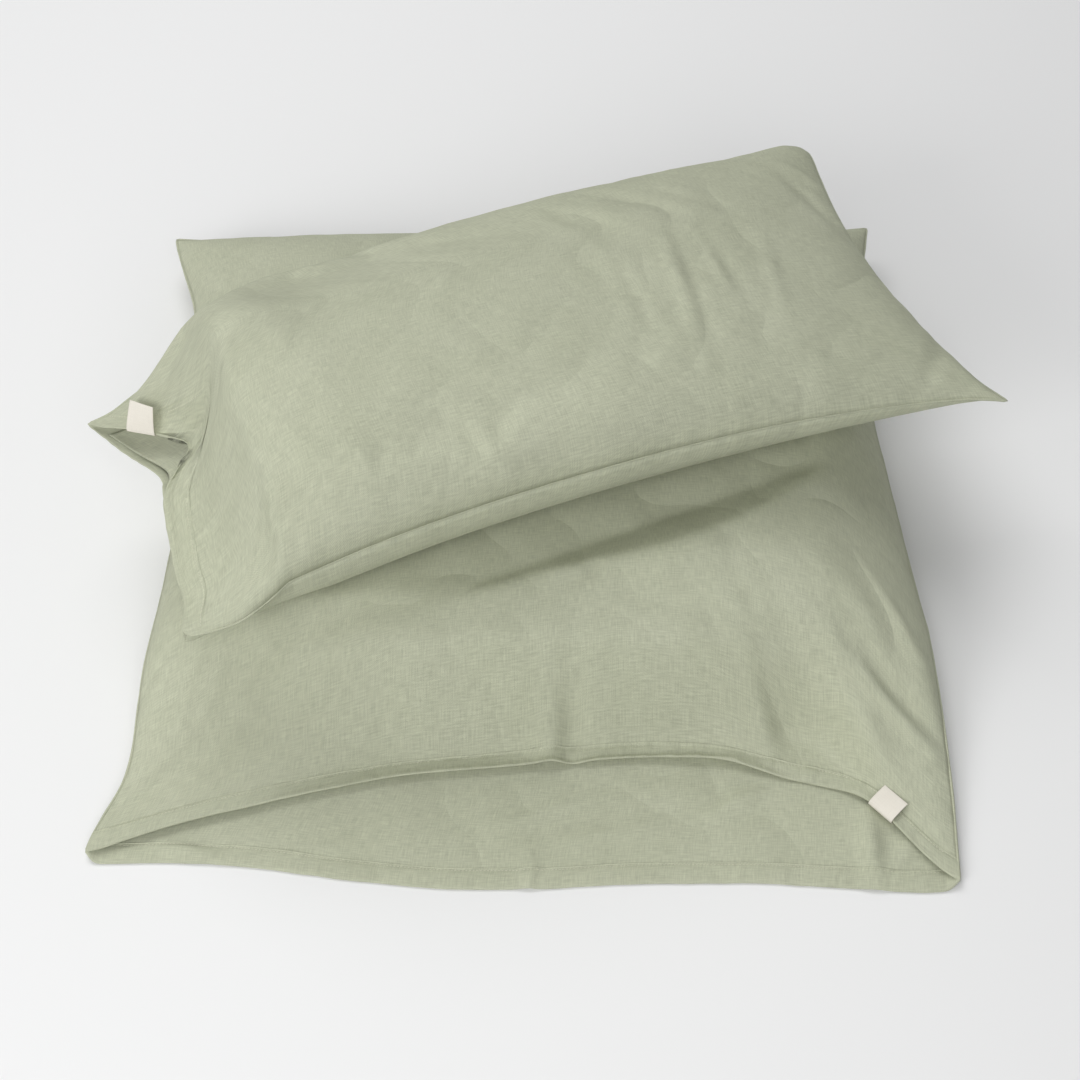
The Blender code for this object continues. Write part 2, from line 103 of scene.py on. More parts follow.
def along_table(value, table):
    """Looks a value up in a table of (value, result) pairs, with the corners eased."""
    keys, results = np.array(table, float).T
    ease = 0.012 * (keys[-1] - keys[0])
    return sum(np.interp(value + step * ease, keys, results) for step in (-2, -1, 0, 1, 2)) / 5


def bump(x, y, middle, size, turn=0.0):
    """A soft hill of height 1, longer one way than the other."""
    dx, dy = x - middle[0], y - middle[1]
    across = dx * math.cos(turn) + dy * math.sin(turn)
    along = dy * math.cos(turn) - dx * math.sin(turn)
    return np.exp(-(across / size[0]) ** 2 - (along / size[1]) ** 2)


ACROSS, ALONG = 3.0, 5.0   # fullness of a stuffed section, across and towards the closed end
print("bulge at the middle, half way and the edge:", bulge(np.array([0, 0.5, 1.0]), ACROSS))

# %% The cover as it lies
# The outline is a table: place along the duvet, then place of the side seam there.
COVER_LEFT = ((-0.363, -0.388), (-0.330, -0.382), (-0.305, -0.366), (-0.270, -0.353),
              (-0.229, -0.352), (-0.175, -0.350), (-0.107, -0.342), (0.0, -0.336),
              (0.150, -0.338), (0.266, -0.346), (0.337, -0.368), (0.371, -0.376))
COVER_RIGHT = ((-0.396, 0.386), (-0.311, 0.389), (-0.206, 0.384), (-0.139, 0.380),
               (-0.093, 0.373), (-0.022, 0.366), (0.040, 0.360), (0.116, 0.352),
               (0.250, 0.352), (0.330, 0.360), (0.389, 0.368))
# The hems run across: share from -1 to 1, then the hem's place along the duvet.
COVER_TOP_HEM = ((-1.0, -0.356), (-0.80, -0.323), (-0.56, -0.295), (-0.34, -0.275),
                 (-0.04, -0.264), (0.25, -0.254), (0.46, -0.257), (0.58, -0.272),
                 (0.72, -0.284), (0.79, -0.292), (0.85, -0.319), (0.90, -0.343),
                 (0.95, -0.368), (1.0, -0.384))
COVER_BOTTOM_HEM = ((-1.0, -0.362), (-0.80, -0.360), (-0.62, -0.364), (-0.40, -0.377),
                    (-0.18, -0.386), (0.04, -0.386), (0.25, -0.380), (0.55, -0.379),
                    (0.78, -0.385), (0.92, -0.389), (1.0, -0.385))
COVER_FRONT = -0.195            # where the duvet inside starts
COVER_SEAMS = (0.008, 0.044)    # height of the side seams at the hem, and further in
COVER_LIFTS = (0.003, 0.108)    # the top panel's rise over them, at the same places
COVER_DROP = 0.095              # the bottom panel's fall under them
COVER_HEM_SHARE = 0.67          # part of the rise that the empty mouth leaves to the filling
FOOT_DEPTH = (0.368, 0.386)     # the closed end's left and right corners
FOOT_BOW = 0.012                # and how far the seam between them is drawn in

REST = 0.118               # height of the hollow under the pillow
HOLLOW = (0.154, 0.352)    # its half width and half length
HOLLOW_SLOPE = 0.6         # how steeply it rises outside them
PILLOW_SHIFT = (PILLOW_MIDDLE[0] - DUVET_MIDDLE[0], PILLOW_MIDDLE[1] - DUVET_MIDDLE[1])


def pillow_axes(x, y):
    """A place on the duvet as (across, along) the pillow."""
    dx, dy = x - PILLOW_SHIFT[0], y - PILLOW_SHIFT[1]
    return (dx * math.cos(PILLOW_TURN) + dy * math.sin(PILLOW_TURN),
            dy * math.cos(PILLOW_TURN) - dx * math.sin(PILLOW_TURN))


def hollow(x, y):
    """Height of the surface in which the duvet and the pillow meet."""
    across, along = pillow_axes(x, y)
    beside = np.maximum(np.abs(across) - HOLLOW[0], 0.0)
    beyond = np.maximum(np.abs(along) - HOLLOW[1], 0.0)
    return REST + HOLLOW_SLOPE * np.hypot(beside, beyond)


def cover_shape(u, t, is_top):
    """The cover's top or bottom panel: u from -1 to 1 across, t from 0 at the hem to 1."""
    hem = along_table(u, COVER_TOP_HEM if is_top else COVER_BOTTOM_HEM)
    foot = blend(*FOOT_DEPTH, (u + 1) / 2) - FOOT_BOW * (1 - u * u)
    y = blend(hem, foot, t)
    before = (y - hem) / (COVER_FRONT - hem) * COVER_HEM_SHARE
    fall = np.clip((y - COVER_FRONT) / (foot - COVER_FRONT), 0.0, 1.0)
    rise = smooth(np.where(y < COVER_FRONT, before, COVER_HEM_SHARE + 2 * fall))
    left, right = along_table(y, COVER_LEFT), along_table(y, COVER_RIGHT)
    x = blend(left, right, (u + 1) / 2)
    seam = blend(*COVER_SEAMS, rise)
    section = bulge(u, ACROSS), bulge(fall, ALONG)
    if is_top:
        z = seam + blend(*COVER_LIFTS, rise) * section[0] * section[1]
    else:
        z = np.maximum(seam - COVER_DROP * section[0] * section[1], FLOOR_GAP + CLOTH)
    return np.stack([x, y, z], -1)


print("cover's height half way back, laid:", round(float(cover_shape(0.0, 0.5, True)[2]), 3))

# %% [markdown]
# The pillowcase follows the same rule in its own axes, with three differences.  Its seams are
# higher in the middle of their length, because the corners droop.  Its crown is fuller near
# the mouth.  And its two lips are not alike: the top one is drawn back in a notch near the
# back corner, which opens a dark triangle, and elsewhere they lie on each other.

# %% The pillowcase as it lies
CASE_WIDTHS = (0.282, 0.384)    # at the mouth and at the closed end
CASE_WAIST = 0.020              # how far the filling draws the side seams in
CASE_LENGTH = 0.782
CASE_BOW = 0.030                # how far the closed end's seam is drawn in
# The lips run across: share from -1 at the back to 1, then the depth of the edge, or its
# distance from the seams' height.
CASE_TOP_LIP = ((-1.0, 0.0), (-0.86, 0.015), (-0.64, 0.050), (-0.50, 0.075), (-0.42, 0.080),
                (-0.36, 0.070), (-0.27, 0.051), (-0.14, 0.037), (0.10, 0.030), (0.47, 0.022),
                (0.71, 0.020), (0.86, 0.010), (1.0, 0.0))
CASE_BOTTOM_LIP = ((-1.0, 0.0), (-0.69, 0.025), (-0.48, 0.042), (-0.38, 0.046),
                   (-0.23, 0.040), (0.10, 0.033), (0.47, 0.024), (0.71, 0.020),
                   (0.86, 0.010), (1.0, 0.0))
CASE_LIP_LIFT = ((-1.0, 0.0), (-0.75, 0.012), (-0.5, 0.010), (-0.3, 0.004), (0.0, 0.003),
                 (0.8, 0.003), (1.0, 0.0))
CASE_LIP_DROP = ((-1.0, 0.0), (-0.7, 0.014), (-0.4, 0.016), (-0.2, 0.004), (0.0, 0.003),
                 (0.8, 0.003), (1.0, 0.0))
CASE_EMPTY = 0.105              # depth of the mouth before the filling
CASE_LIP_SHARE = 0.74           # part of the rise that it leaves to the filling
CASE_SEAMS = (0.150, 0.180)     # height of the side seams at the mouth, and further in
CASE_ARCH = 0.040               # how much higher they are half way along
CASE_RISE = 0.130               # the top panel's rise over them
CASE_TAPER = 0.50               # the part of it that is lost at the closed end
CASE_DROP = 0.115               # the bottom panel's fall under them
CORNER = (0.80, 0.88)           # where a corner starts, as shares across and along
BLUNT = (0.013, -0.007)         # how far the closed end's back and front corners are drawn in
MOUTH_BLUNT = 0.010             # and the mouth's front corner
MOUTH_HUMP = 0.036              # the top panel stands fuller beside the mouth's back corner
HUMP_PLACE = ((-0.60, 0.105), (0.38, 0.065))    # share across and depth: middle, then size
KNOT = 0.009                    # how far the layers bunch up at the mouth's front corner
KNOT_PLACE = ((0.95, 0.012), (0.10, 0.028))


def in_corner(u, along):
    """0 to 1 towards the corner at u = 1, along = 1."""
    return (np.clip((u - CORNER[0]) / (1 - CORNER[0]), 0, 1)
            * np.clip((along - CORNER[1]) / (1 - CORNER[1]), 0, 1)) ** 2


def case_shape(u, t, is_top):
    """The pillowcase's panels in the pillow's own axes."""
    half = CASE_LENGTH / 2
    hem = -half + along_table(u, CASE_TOP_LIP if is_top else CASE_BOTTOM_LIP)
    front, end = -half + CASE_EMPTY, half - CASE_BOW * (1 - u * u)
    y = blend(hem, end, t)
    before = (y - hem) / (front - hem) * CASE_LIP_SHARE
    fall = np.clip((y - front) / (end - front), 0.0, 1.0)
    rise = smooth(np.where(y < front, before, CASE_LIP_SHARE + 2 * fall))
    along = y / half
    x = u * (blend(*CASE_WIDTHS, (along + 1) / 2) / 2 - CASE_WAIST * (1 - np.abs(along) ** 3))
    z = blend(*CASE_SEAMS, rise) + CASE_ARCH * (1 - along ** 2)
    section = rise * bulge(u, ACROSS) * bulge(fall, ALONG)
    if is_top:
        z += along_table(u, CASE_LIP_LIFT) * (1 - rise)
        z += CASE_RISE * (1 - CASE_TAPER * fall) * section
        z += MOUTH_HUMP * bump(u, y + half, *HUMP_PLACE) * smooth(rise / 0.15)
    else:
        z -= along_table(u, CASE_LIP_DROP) * (1 - rise) + CASE_DROP * section
    blunt = np.where(u < 0, *BLUNT) * in_corner(np.abs(u), along)
    x, y = x - np.sign(u) * blunt, y - blunt
    blunt = MOUTH_BLUNT * in_corner(u, -along)
    x, y = x - blunt, y + blunt
    knot = KNOT * bump(u, y + half, *KNOT_PLACE)
    return np.stack([x, y, z + (knot if is_top else -0.4 * knot)], -1)


def to_duvet(points):
    """From the pillow's axes to the duvet's."""
    x, y = points[..., 0], points[..., 1]
    turned_x = x * math.cos(PILLOW_TURN) - y * math.sin(PILLOW_TURN)
    turned_y = x * math.sin(PILLOW_TURN) + y * math.cos(PILLOW_TURN)
    return np.stack([turned_x + PILLOW_SHIFT[0], turned_y + PILLOW_SHIFT[1], points[..., 2]], -1)


print("pillow's height half way along, laid:", round(float(case_shape(0.0, 0.5, True)[2]), 3))

# %% [markdown]
# ## Sewing two panels into one bag
#
# A cloth simulation of a cover needs one mesh, sewn at three sides and open at the fourth.
# Two equal grids are enough.  Their vertices are shared along the seams, and the row numbers
# are kept, so that after the settling each panel can be taken out again as a clean grid.
# Rows are closer together at the hem, where the cloth is stiffer and more is seen.

# %% Grids and bags
HEM = 0.020                # depth of a hem
HEM_STEP = 0.005           # and of the rows of the grid over it


def rows_for(depth, count):
    """Shares along a panel: fine steps over the hem, then even ones."""
    fine = np.arange(0.0, HEM + 0.001, HEM_STEP) / depth
    return np.concatenate([fine, np.linspace(fine[-1], 1.0, count)[1:]])


def grid_quads(ids, turned=False):
    """The four-sided faces of a grid of vertex numbers, facing up or turned over."""
    quads = np.stack([ids[:-1, :-1], ids[1:, :-1], ids[1:, 1:], ids[:-1, 1:]], -1)
    return quads.reshape(-1, 4)[:, ::-1] if turned else quads.reshape(-1, 4)


class Bag:
    """Two panels with shared edges."""

    def __init__(self, shape, flat, notch, columns, rows):
        self.u = np.linspace(-1.0, 1.0, columns + 1)
        self.t = rows_for(flat[1], rows)
        across, along = np.meshgrid(self.u, self.t, indexing="ij")
        tops, bottoms = shape(across, along, True), shape(across, along, False)
        count = across.size
        self.top = np.arange(count).reshape(across.shape)
        self.bottom = np.full(across.shape, -1)
        self.bottom[0], self.bottom[-1] = self.top[0], self.top[-1]
        self.bottom[:, -1] = self.top[:, -1]
        free = self.bottom < 0
        self.bottom[free] = count + np.arange(free.sum())
        self.points = np.concatenate([tops.reshape(-1, 3), bottoms[free]])
        self.flat = self.cut(flat, notch, across, along, free)

    def cut(self, flat, notch, across, along, free):
        """The cloth as it was cut: flat, with the top panel's mouth edge hollowed."""
        x = across * flat[0] / 2
        panels = []
        for depth, height in ((notch, 0.0005), (0.0, -0.0005)):
            mouth = depth * (1 - across ** 4)
            y = -flat[1] / 2 + mouth + along * (flat[1] - mouth)
            panels.append(np.stack([x, y, np.full_like(x, height)], -1))
        return np.concatenate([panels[0].reshape(-1, 3), panels[1][free]])

    def faces(self):
        return np.concatenate([grid_quads(self.top), grid_quads(self.bottom, True)])


print("first rows of a panel, in mm:", np.round(rows_for(0.8, 92)[:6] * 800, 1))

# %% [markdown]
# ## Letting the cloth settle
#
# The laid shape is smooth, and real linen isn't: there is a little more cloth than the shape
# needs, so it puckers along the seams and gives where it turns.  The flat cut goes into
# Blender's Cloth as the rest shape, the filling as pressure that starts behind the empty
# mouth, and soft pins keep seams and hems near their places.
#
# This is a shaped result and not a free one.  The run is short, its stiffness and pressure
# are given, and the cloth meets nothing: the floor and the other piece come later.
# Left alone, parts of the bags would leave the laid shape by several centimetres, so no point
# may end further than REACH from it.  The share of points that this holds back is printed.

# %% The settling
REACH = 0.020              # no point ends further from its laid place
FRAMES = 22


def settle(name, bag, pins, filled):
    mesh = bpy.data.meshes.new(name)
    mesh.from_pydata(bag.points.tolist(), [], bag.faces().tolist())
    body = bpy.data.objects.new(name, mesh)
    bpy.context.scene.collection.objects.link(body)
    body.shape_key_add(name="Laid")
    cut = body.shape_key_add(name="Cut")
    cut.data.foreach_set("co", bag.flat.ravel())
    for group_name, weights in (("pins", pins), ("filling", filled)):
        group = body.vertex_groups.new(name=group_name)
        for level in np.unique(np.round(weights, 2)):
            members = np.flatnonzero(np.round(weights, 2) == level)
            group.add(members.tolist(), float(level), "REPLACE")
    cloth = body.modifiers.new("Cloth", "CLOTH")
    settings = cloth.settings
    settings.quality = 6
    settings.mass = 0.05
    settings.tension_stiffness = settings.compression_stiffness = 15.0
    settings.shear_stiffness = 5.0
    settings.bending_stiffness = 0.3
    settings.air_damping = 1.0
    settings.rest_shape_key = mesh.shape_keys.key_blocks["Cut"]
    settings.vertex_group_mass = "pins"
    settings.pin_stiffness = 1.0
    settings.use_pressure = True
    settings.uniform_pressure_force = 5.0
    settings.vertex_group_pressure = "filling"
    settings.effector_weights.gravity = 0.3
    cloth.collision_settings.use_collision = False
    cloth.point_cache.frame_start, cloth.point_cache.frame_end = 1, FRAMES
    scene = bpy.context.scene
    scene.frame_start, scene.frame_end = 1, FRAMES
    for number in range(1, FRAMES + 1):
        scene.frame_set(number)
    settled = body.evaluated_get(bpy.context.evaluated_depsgraph_get())
    points = np.empty(bag.points.size)
    settled.data.vertices.foreach_get("co", points)
    bpy.data.objects.remove(body, do_unlink=True)
    scene.frame_set(1)
    moved = points.reshape(-1, 3) - bag.points
    length = np.linalg.norm(moved, axis=1, keepdims=True)
    print(name, "would move at most", round(float(length.max()) * 1000, 1), "mm; held back at",
          REACH * 1000, "mm:", round(float((length > REACH).mean()) * 100, 1), "% of its points")
    return bag.points + moved * np.minimum(1.0, REACH / np.maximum(length, 1e-9))


HEM_PIN, SEAM_PIN, UNDER_PIN = 0.5, 0.25, 0.15


def pin_weights(bag):
    """How firmly each point is held: hems most, then seams, then the bottom panel."""
    weights = np.zeros(len(bag.points))
    weights[bag.bottom] = UNDER_PIN
    weights[bag.top[:, :1]] = HEM_PIN
    weights[bag.bottom[:, :1]] = HEM_PIN
    for edge in (bag.top[0], bag.top[-1], bag.top[:, -1]):
        weights[edge] = np.maximum(weights[edge], SEAM_PIN)
    return weights


def seam_slack(name, bag, points):
    """Prints how much longer the cut is than the laid cloth, in the middle of the panels."""
    middle = len(bag.u) // 2, len(bag.t) // 2
    for line, ids in (("top along", bag.top[middle[0]]), ("top across", bag.top[:, middle[1]]),
                      ("bottom across", bag.bottom[:, middle[1]]), ("side", bag.top[0])):
        lengths = [np.linalg.norm(np.diff(grid[ids], axis=0), axis=1).sum()
                   for grid in (bag.flat, points)]
        print(name, line, "cut", round(lengths[0], 3), "laid", round(lengths[1], 3))


print("each bag settles for", FRAMES, "frames")

# %% The two bags, settled
cover_bag = Bag(cover_shape, (0.785, 0.785), 0.040, 96, 92)
seam_slack("cover", cover_bag, cover_bag.points)
filled = smooth((cover_bag.points[:, 1] - COVER_FRONT + 0.03) / 0.08)
cover_points = settle("settling_cover", cover_bag, pin_weights(cover_bag), filled)
case_bag = Bag(case_shape, (0.415, 0.850), 0.006, 64, 108)
seam_slack("case", case_bag, case_bag.points)
filled = smooth((case_bag.points[:, 1] + CASE_LENGTH / 2 - 0.08) / 0.08)
case_points = settle("settling_case", case_bag, pin_weights(case_bag), filled)


# %% [markdown]
# ## Folds that the sewing and the handling left
#
# Some folds come from how the pieces were laid down, not from their filling: the soft crease
# up the middle of the front, the valley beside it, the drag lines towards the right corner.
# They could be painted as bump, but then the outline and the exported mesh wouldn't have
# them.  They are moved into the cloth itself, as long shallow hills and hollows.

# %% Folds on the cover
# Each fold is its middle, (half width, half length), turn and height.
FOLDS = (
    ((0.028, -0.232), (0.013, 0.040), 0.00, 0.0090),
    ((0.046, -0.236), (0.011, 0.038), 0.00, -0.0100),
    ((0.256, -0.232), (0.033, 0.052), 0.50, -0.0240),
    ((0.220, -0.222), (0.009, 0.042), 0.45, 0.0070),
    ((0.308, -0.238), (0.014, 0.058), 0.49, 0.0120),
    ((0.330, -0.222), (0.006, 0.055), 0.81, 0.0070),
    ((0.341, -0.213), (0.007, 0.055), 0.81, -0.0075),
    ((0.348, -0.160), (0.006, 0.050), 0.60, 0.0060),
    ((0.120, -0.262), (0.075, 0.006), 0.07, 0.0030),
    ((0.120, -0.250), (0.080, 0.007), 0.07, -0.0025),
    ((-0.250, -0.150), (0.012, 0.080), 0.55, 0.0030),
    ((-0.090, -0.150), (0.080, 0.012), 0.25, -0.0025),
    ((0.160, -0.120), (0.060, 0.010), 0.20, 0.0025),
)
UNDER_FOLDS = (
    ((0.198, -0.297), (0.007, 0.030), -1.07, 0.0100),
    ((0.312, -0.338), (0.008, 0.038), 0.00, 0.0120),
    ((0.343, -0.345), (0.008, 0.028), -0.60, 0.0070),
    ((0.007, -0.365), (0.005, 0.028), 0.05, 0.0060),
    ((-0.300, -0.348), (0.032, 0.007), -0.20, 0.0060),
    ((0.080, -0.330), (0.080, 0.009), 0.20, 0.0050),
    ((0.020, -0.308), (0.070, 0.008), 0.35, 0.0050),
    ((-0.180, -0.345), (0.050, 0.009), 0.10, 0.0040),
)
CASE_FOLDS = (             # these are in the pillow's axes
    ((0.030, 0.138), (0.075, 0.006), -0.18, 0.0032),
    ((0.032, 0.149), (0.070, 0.006), -0.18, -0.0024),
    ((0.018, 0.181), (0.036, 0.005), -0.05, 0.0030),
    ((0.018, 0.190), (0.034, 0.005), -0.05, -0.0026),
    ((0.028, 0.232), (0.045, 0.006), -0.25, 0.0028),
    ((0.028, 0.092), (0.048, 0.006), -0.04, -0.0026),
    ((-0.070, 0.332), (0.040, 0.007), 0.30, -0.0060),
    ((-0.110, 0.348), (0.030, 0.006), 0.60, 0.0050),
    ((0.150, 0.345), (0.006, 0.030), 0.60, -0.0035),
    ((0.120, 0.350), (0.006, 0.026), 0.80, 0.0030),
    ((-0.060, -0.270), (0.020, 0.035), -0.30, -0.0040),
    ((0.040, -0.330), (0.006, 0.024), 0.30, 0.0035),
    ((0.085, -0.325), (0.005, 0.026), 0.45, -0.0035),
    ((0.060, -0.250), (0.090, 0.012), 0.25, 0.0035),
)


def fold(points, folds):
    """Moves the points up or down by all the folds."""
    for middle, size, turn, height in folds:
        points[..., 2] += height * bump(points[..., 0], points[..., 1], middle, size, turn)


# %% [markdown]
# Sewing draws the cloth up a little, so small gathers stand beside a seam and fade within a
# few centimetres.  They are random but always the same, because the seed is fixed.

# %% Gathers
PUCKER = 0.0013            # their height
PUCKER_FADE = (1.0, 0.75, 0.45, 0.20)    # what is left of it in each row from the seam


def pucker(panel, seed):
    """Small gathers beside the two side seams and the closed end, fading inwards."""
    random = np.random.default_rng(seed)
    columns, rows = panel.shape[:2]

    def gathers(count):
        return PUCKER * np.convolve(random.standard_normal(count + 2), (0.3, 0.4, 0.3), "valid")

    back, front, end = gathers(rows), gathers(rows), gathers(columns)
    for step, share in enumerate(PUCKER_FADE, start=1):
        panel[step, 4:-4, 2] += share * back[4:-4]
        panel[-1 - step, 4:-4, 2] += share * front[4:-4]
        panel[4:-4, -1 - step, 2] += share * end[4:-4]


cover_top = cover_points[cover_bag.top]
cover_bottom = cover_points[cover_bag.bottom]
fold(cover_top[1:-1, :-2], FOLDS)
fold(cover_bottom, UNDER_FOLDS)
case_top = case_points[case_bag.top]
fold(case_top[1:-1, :-2], CASE_FOLDS)
for seed, panel in enumerate((cover_top, cover_bottom, case_top), start=71):
    pucker(panel, seed)
case_top = to_duvet(case_top)
case_bottom = to_duvet(case_points[case_bag.bottom])
print("gathers beside the seams, usual height in mm:", PUCKER * 1000)


# %% [markdown]
# ## Keeping the layers apart
#
# The duvet lies on the floor and the pillow on the duvet.  Each pair shares one surface: the
# floor is level, and `hollow` is what the pillow's weight makes of the duvet's top.  Cloth on
# either side of it is pushed back to its own side, softly, so that no crease shows where the
# pushing starts.

# %% Contact
def soft_least(a, b, radius):
    """The smaller of two heights, rounded where they cross."""
    gap = np.clip((b - a) / (2 * radius) + 0.5, 0.0, 1.0)
    return blend(b, a, gap) - radius * gap * (1 - gap)


EASE = 0.004               # how softly cloth is pushed back at the hollow
APART = 2.5 * CLOTH        # least distance between a bag's two panels
INNER = (slice(1, -1), slice(0, -1))    # a top panel without its sewn edges


def keep_apart():
    """Pushes the panels back from the floor, from the hollow and from each other."""
    contact = hollow(cover_top[..., 0], cover_top[..., 1]) - 2 * CLOTH
    cover_top[INNER + (2,)] = soft_least(cover_top[..., 2], contact, EASE)[INNER]
    cover_bottom[..., 2] = np.maximum(cover_bottom[..., 2], FLOOR_GAP + CLOTH)
    contact = hollow(case_bottom[..., 0], case_bottom[..., 1]) + 2 * CLOTH
    case_bottom[..., 2] = -soft_least(-case_bottom[..., 2], -contact, EASE)
    for top, bottom in ((cover_top, cover_bottom), (case_top, case_bottom)):
        over = np.maximum(top[..., 2], bottom[..., 2] + APART)
        top[INNER + (2,)] = over[INNER]


keep_apart()
SHIFT = np.array([*DUVET_MIDDLE, 0.0])
for panel in (cover_top, cover_bottom, case_top, case_bottom):
    panel += SHIFT
print("highest cloth:", round(float(case_top[..., 2].max()), 4), "m")

# %% [markdown]
# ## Linen
#
# Linen is a plain weave of uneven flax yarn.  Seen close it is a grid of small bumps, and the
# yarn's thick places make pale and dark streaks a few centimetres long, one way and the
# other.  An image could show that; nodes do it at any distance.  The pattern runs on the
# cloth's own UV map, which is the flat cut in metres, so it bends with every fold.  The
# yarns are sine waves, wobbled by noise; the streaks are noise stretched along each yarn.

# %% Materials
def new_material(name):
    material = bpy.data.materials.new(name)
    material.use_nodes = True
    return material, material.node_tree.nodes, material.node_tree.links


def node(nodes, kind, **settings):
    made = nodes.new(kind)
    for key, value in settings.items():
        if key in made.inputs:
            made.inputs[key].default_value = value
        else:
            setattr(made, key, value)
    return made


def scaled(nodes, links, vector, size):
    mapping = node(nodes, "ShaderNodeMapping")
    mapping.inputs["Scale"].default_value = size
    links.new(vector, mapping.inputs["Vector"])
    return mapping.outputs["Vector"]


def noise(nodes, links, vector, size, scale, detail=2.0, rough=0.5):
    made = node(nodes, "ShaderNodeTexNoise", Scale=scale, Detail=detail, Roughness=rough)
    links.new(scaled(nodes, links, vector, size), made.inputs["Vector"])
    return made.outputs["Fac"]


def maths(nodes, links, operation, first, second):
    made = node(nodes, "ShaderNodeMath", operation=operation)
    for socket, value in zip(made.inputs, (first, second)):
        if isinstance(value, (int, float)):
            socket.default_value = value
        else:
            links.new(value, socket)
    return made.outputs["Value"]


def tones(nodes, links, factor, low, high, bottom=0.3, top=0.7):
    ramp = node(nodes, "ShaderNodeValToRGB")
    for element, place, colour in zip(ramp.color_ramp.elements, (bottom, top), (low, high)):
        element.position, element.color = place, (*colour, 1)
    links.new(factor, ramp.inputs["Fac"])
    return ramp.outputs["Color"]


def multiply(nodes, links, first, second, share=1.0):
    mix = node(nodes, "ShaderNodeMix", data_type="RGBA", blend_type="MULTIPLY")
    mix.inputs["Factor"].default_value = share
    links.new(first, mix.inputs["A"])
    links.new(second, mix.inputs["B"])
    return mix.outputs["Result"]


def woven(name, dark, pale, yarn, relief_height, streak=0.16, crinkle=0.0):
    """A plain weave of that yarn pitch in metres, on the piece's UV map."""
    material, nodes, links = new_material(name)
    shader = nodes["Principled BSDF"]
    for socket, value in (("Roughness", 0.9), ("Specular IOR Level", 0.25),
                          ("Sheen Weight", 0.15), ("Sheen Roughness", 0.5),
                          ("Sheen Tint", (*pale, 1))):
        shader.inputs[socket].default_value = value
    # The weave: two waves that cross, a little wobbly.
    uv = node(nodes, "ShaderNodeUVMap", uv_map="Cloth").outputs["UV"]
    wobble = node(nodes, "ShaderNodeTexNoise", Scale=90.0, Detail=2.0)
    links.new(uv, wobble.inputs["Vector"])
    spread = node(nodes, "ShaderNodeVectorMath", operation="SCALE", Scale=yarn * 1.5)
    links.new(wobble.outputs["Color"], spread.inputs[0])
    moved = node(nodes, "ShaderNodeVectorMath", operation="ADD")
    links.new(uv, moved.inputs[0])
    links.new(spread.outputs["Vector"], moved.inputs[1])
    split = node(nodes, "ShaderNodeSeparateXYZ")
    links.new(moved.outputs["Vector"], split.inputs["Vector"])
    waves = []
    for axis in ("X", "Y"):
        angle = maths(nodes, links, "MULTIPLY", split.outputs[axis], math.pi / yarn)
        waves.append(maths(nodes, links, "SINE", angle, 0.0))
    weave = maths(nodes, links, "MULTIPLY", *waves)
    weave = maths(nodes, links, "MULTIPLY_ADD", weave, 0.5)
    # Thick places in the yarns: noise that is drawn out along them, each way.
    warp = noise(nodes, links, uv, (1.0, 0.07, 1.0), 1000.0, 2.0)
    weft = noise(nodes, links, uv, (0.07, 1.0, 1.0), 1000.0, 2.0)
    yarns = maths(nodes, links, "ADD", warp, weft)
    yarns = maths(nodes, links, "MULTIPLY", yarns, 0.5)
    # The colour: broad patches, times the streaks, times painted shade in the dips of the weave
    # and painted light on its raised crossings.
    patches = noise(nodes, links, uv, (1.0, 1.0, 1.0), 9.0, 3.0, 0.6)
    base = tones(nodes, links, patches, dark, pale)
    shade = 1.0 - streak
    streaks = tones(nodes, links, yarns, (shade,) * 3, (1.0 + streak * 0.6,) * 3, 0.36, 0.64)
    colour = multiply(nodes, links, base, streaks)
    # Painted shade: the colour is darkened where the weave's relief dips and lightened where it
    # rises.
    painted_weave_shade = tones(nodes, links, weave, (0.90,) * 3, (1.05,) * 3, 0.2, 0.8)
    colour = multiply(nodes, links, colour, painted_weave_shade, 0.6)
    links.new(colour, shader.inputs["Base Color"])
    # The relief in metres, with creases where a broad noise crosses its middle.
    relief = maths(nodes, links, "ADD", weave, yarns)
    relief = maths(nodes, links, "MULTIPLY", relief, relief_height)
    if crinkle:
        waver = node(nodes, "ShaderNodeTexNoise", Scale=7.5, Detail=1.5, Roughness=0.45,
                     Distortion=0.25)
        links.new(uv, waver.inputs["Vector"])
        crease = maths(nodes, links, "SUBTRACT", waver.outputs["Fac"], 0.5)
        crease = maths(nodes, links, "ABSOLUTE", crease, 0.0)
        crease = maths(nodes, links, "MULTIPLY", crease, crinkle)
        relief = maths(nodes, links, "ADD", relief, crease)
    bump_node = node(nodes, "ShaderNodeBump", Strength=1.0, Distance=1.0)
    links.new(relief, bump_node.inputs["Height"])
    links.new(bump_node.outputs["Normal"], shader.inputs["Normal"])
    return material


# %% The four finishes
LINEN = woven("linen", (0.478, 0.497, 0.368), (0.510, 0.528, 0.398), 0.0007, 0.00018,
              crinkle=0.018)
COTTON = woven("cotton", (0.80, 0.79, 0.76), (0.87, 0.86, 0.83), 0.0005, 0.00010, 0.03)
TAPE = woven("label_tape", (0.74, 0.70, 0.62), (0.82, 0.78, 0.70), 0.0004, 0.00006, 0.03)
THREAD = woven("thread", (0.56, 0.56, 0.44), (0.64, 0.64, 0.52), 0.0004, 0.00005, 0.03)
print("materials:", [material.name for material in bpy.data.materials])


# %% [markdown]
# ## From grid to cloth
#
# A settled grid becomes a piece in four steps: a mesh with the flat cut as its UV map, one
# level of Subdivision Surface to round it, a thickness, and smooth shading.  Modifiers would
# do at export time too, but applying them here keeps the finished mesh in plain sight.

# %% Making a piece of cloth
def to_piece(name, mesh, material):
    """A smooth object at the origin, of that mesh and material."""
    piece = bpy.data.objects.new(name, mesh)
    bpy.context.scene.collection.objects.link(piece)
    mesh.materials.clear()
    mesh.materials.append(material)
    mesh.shade_smooth()
    return piece


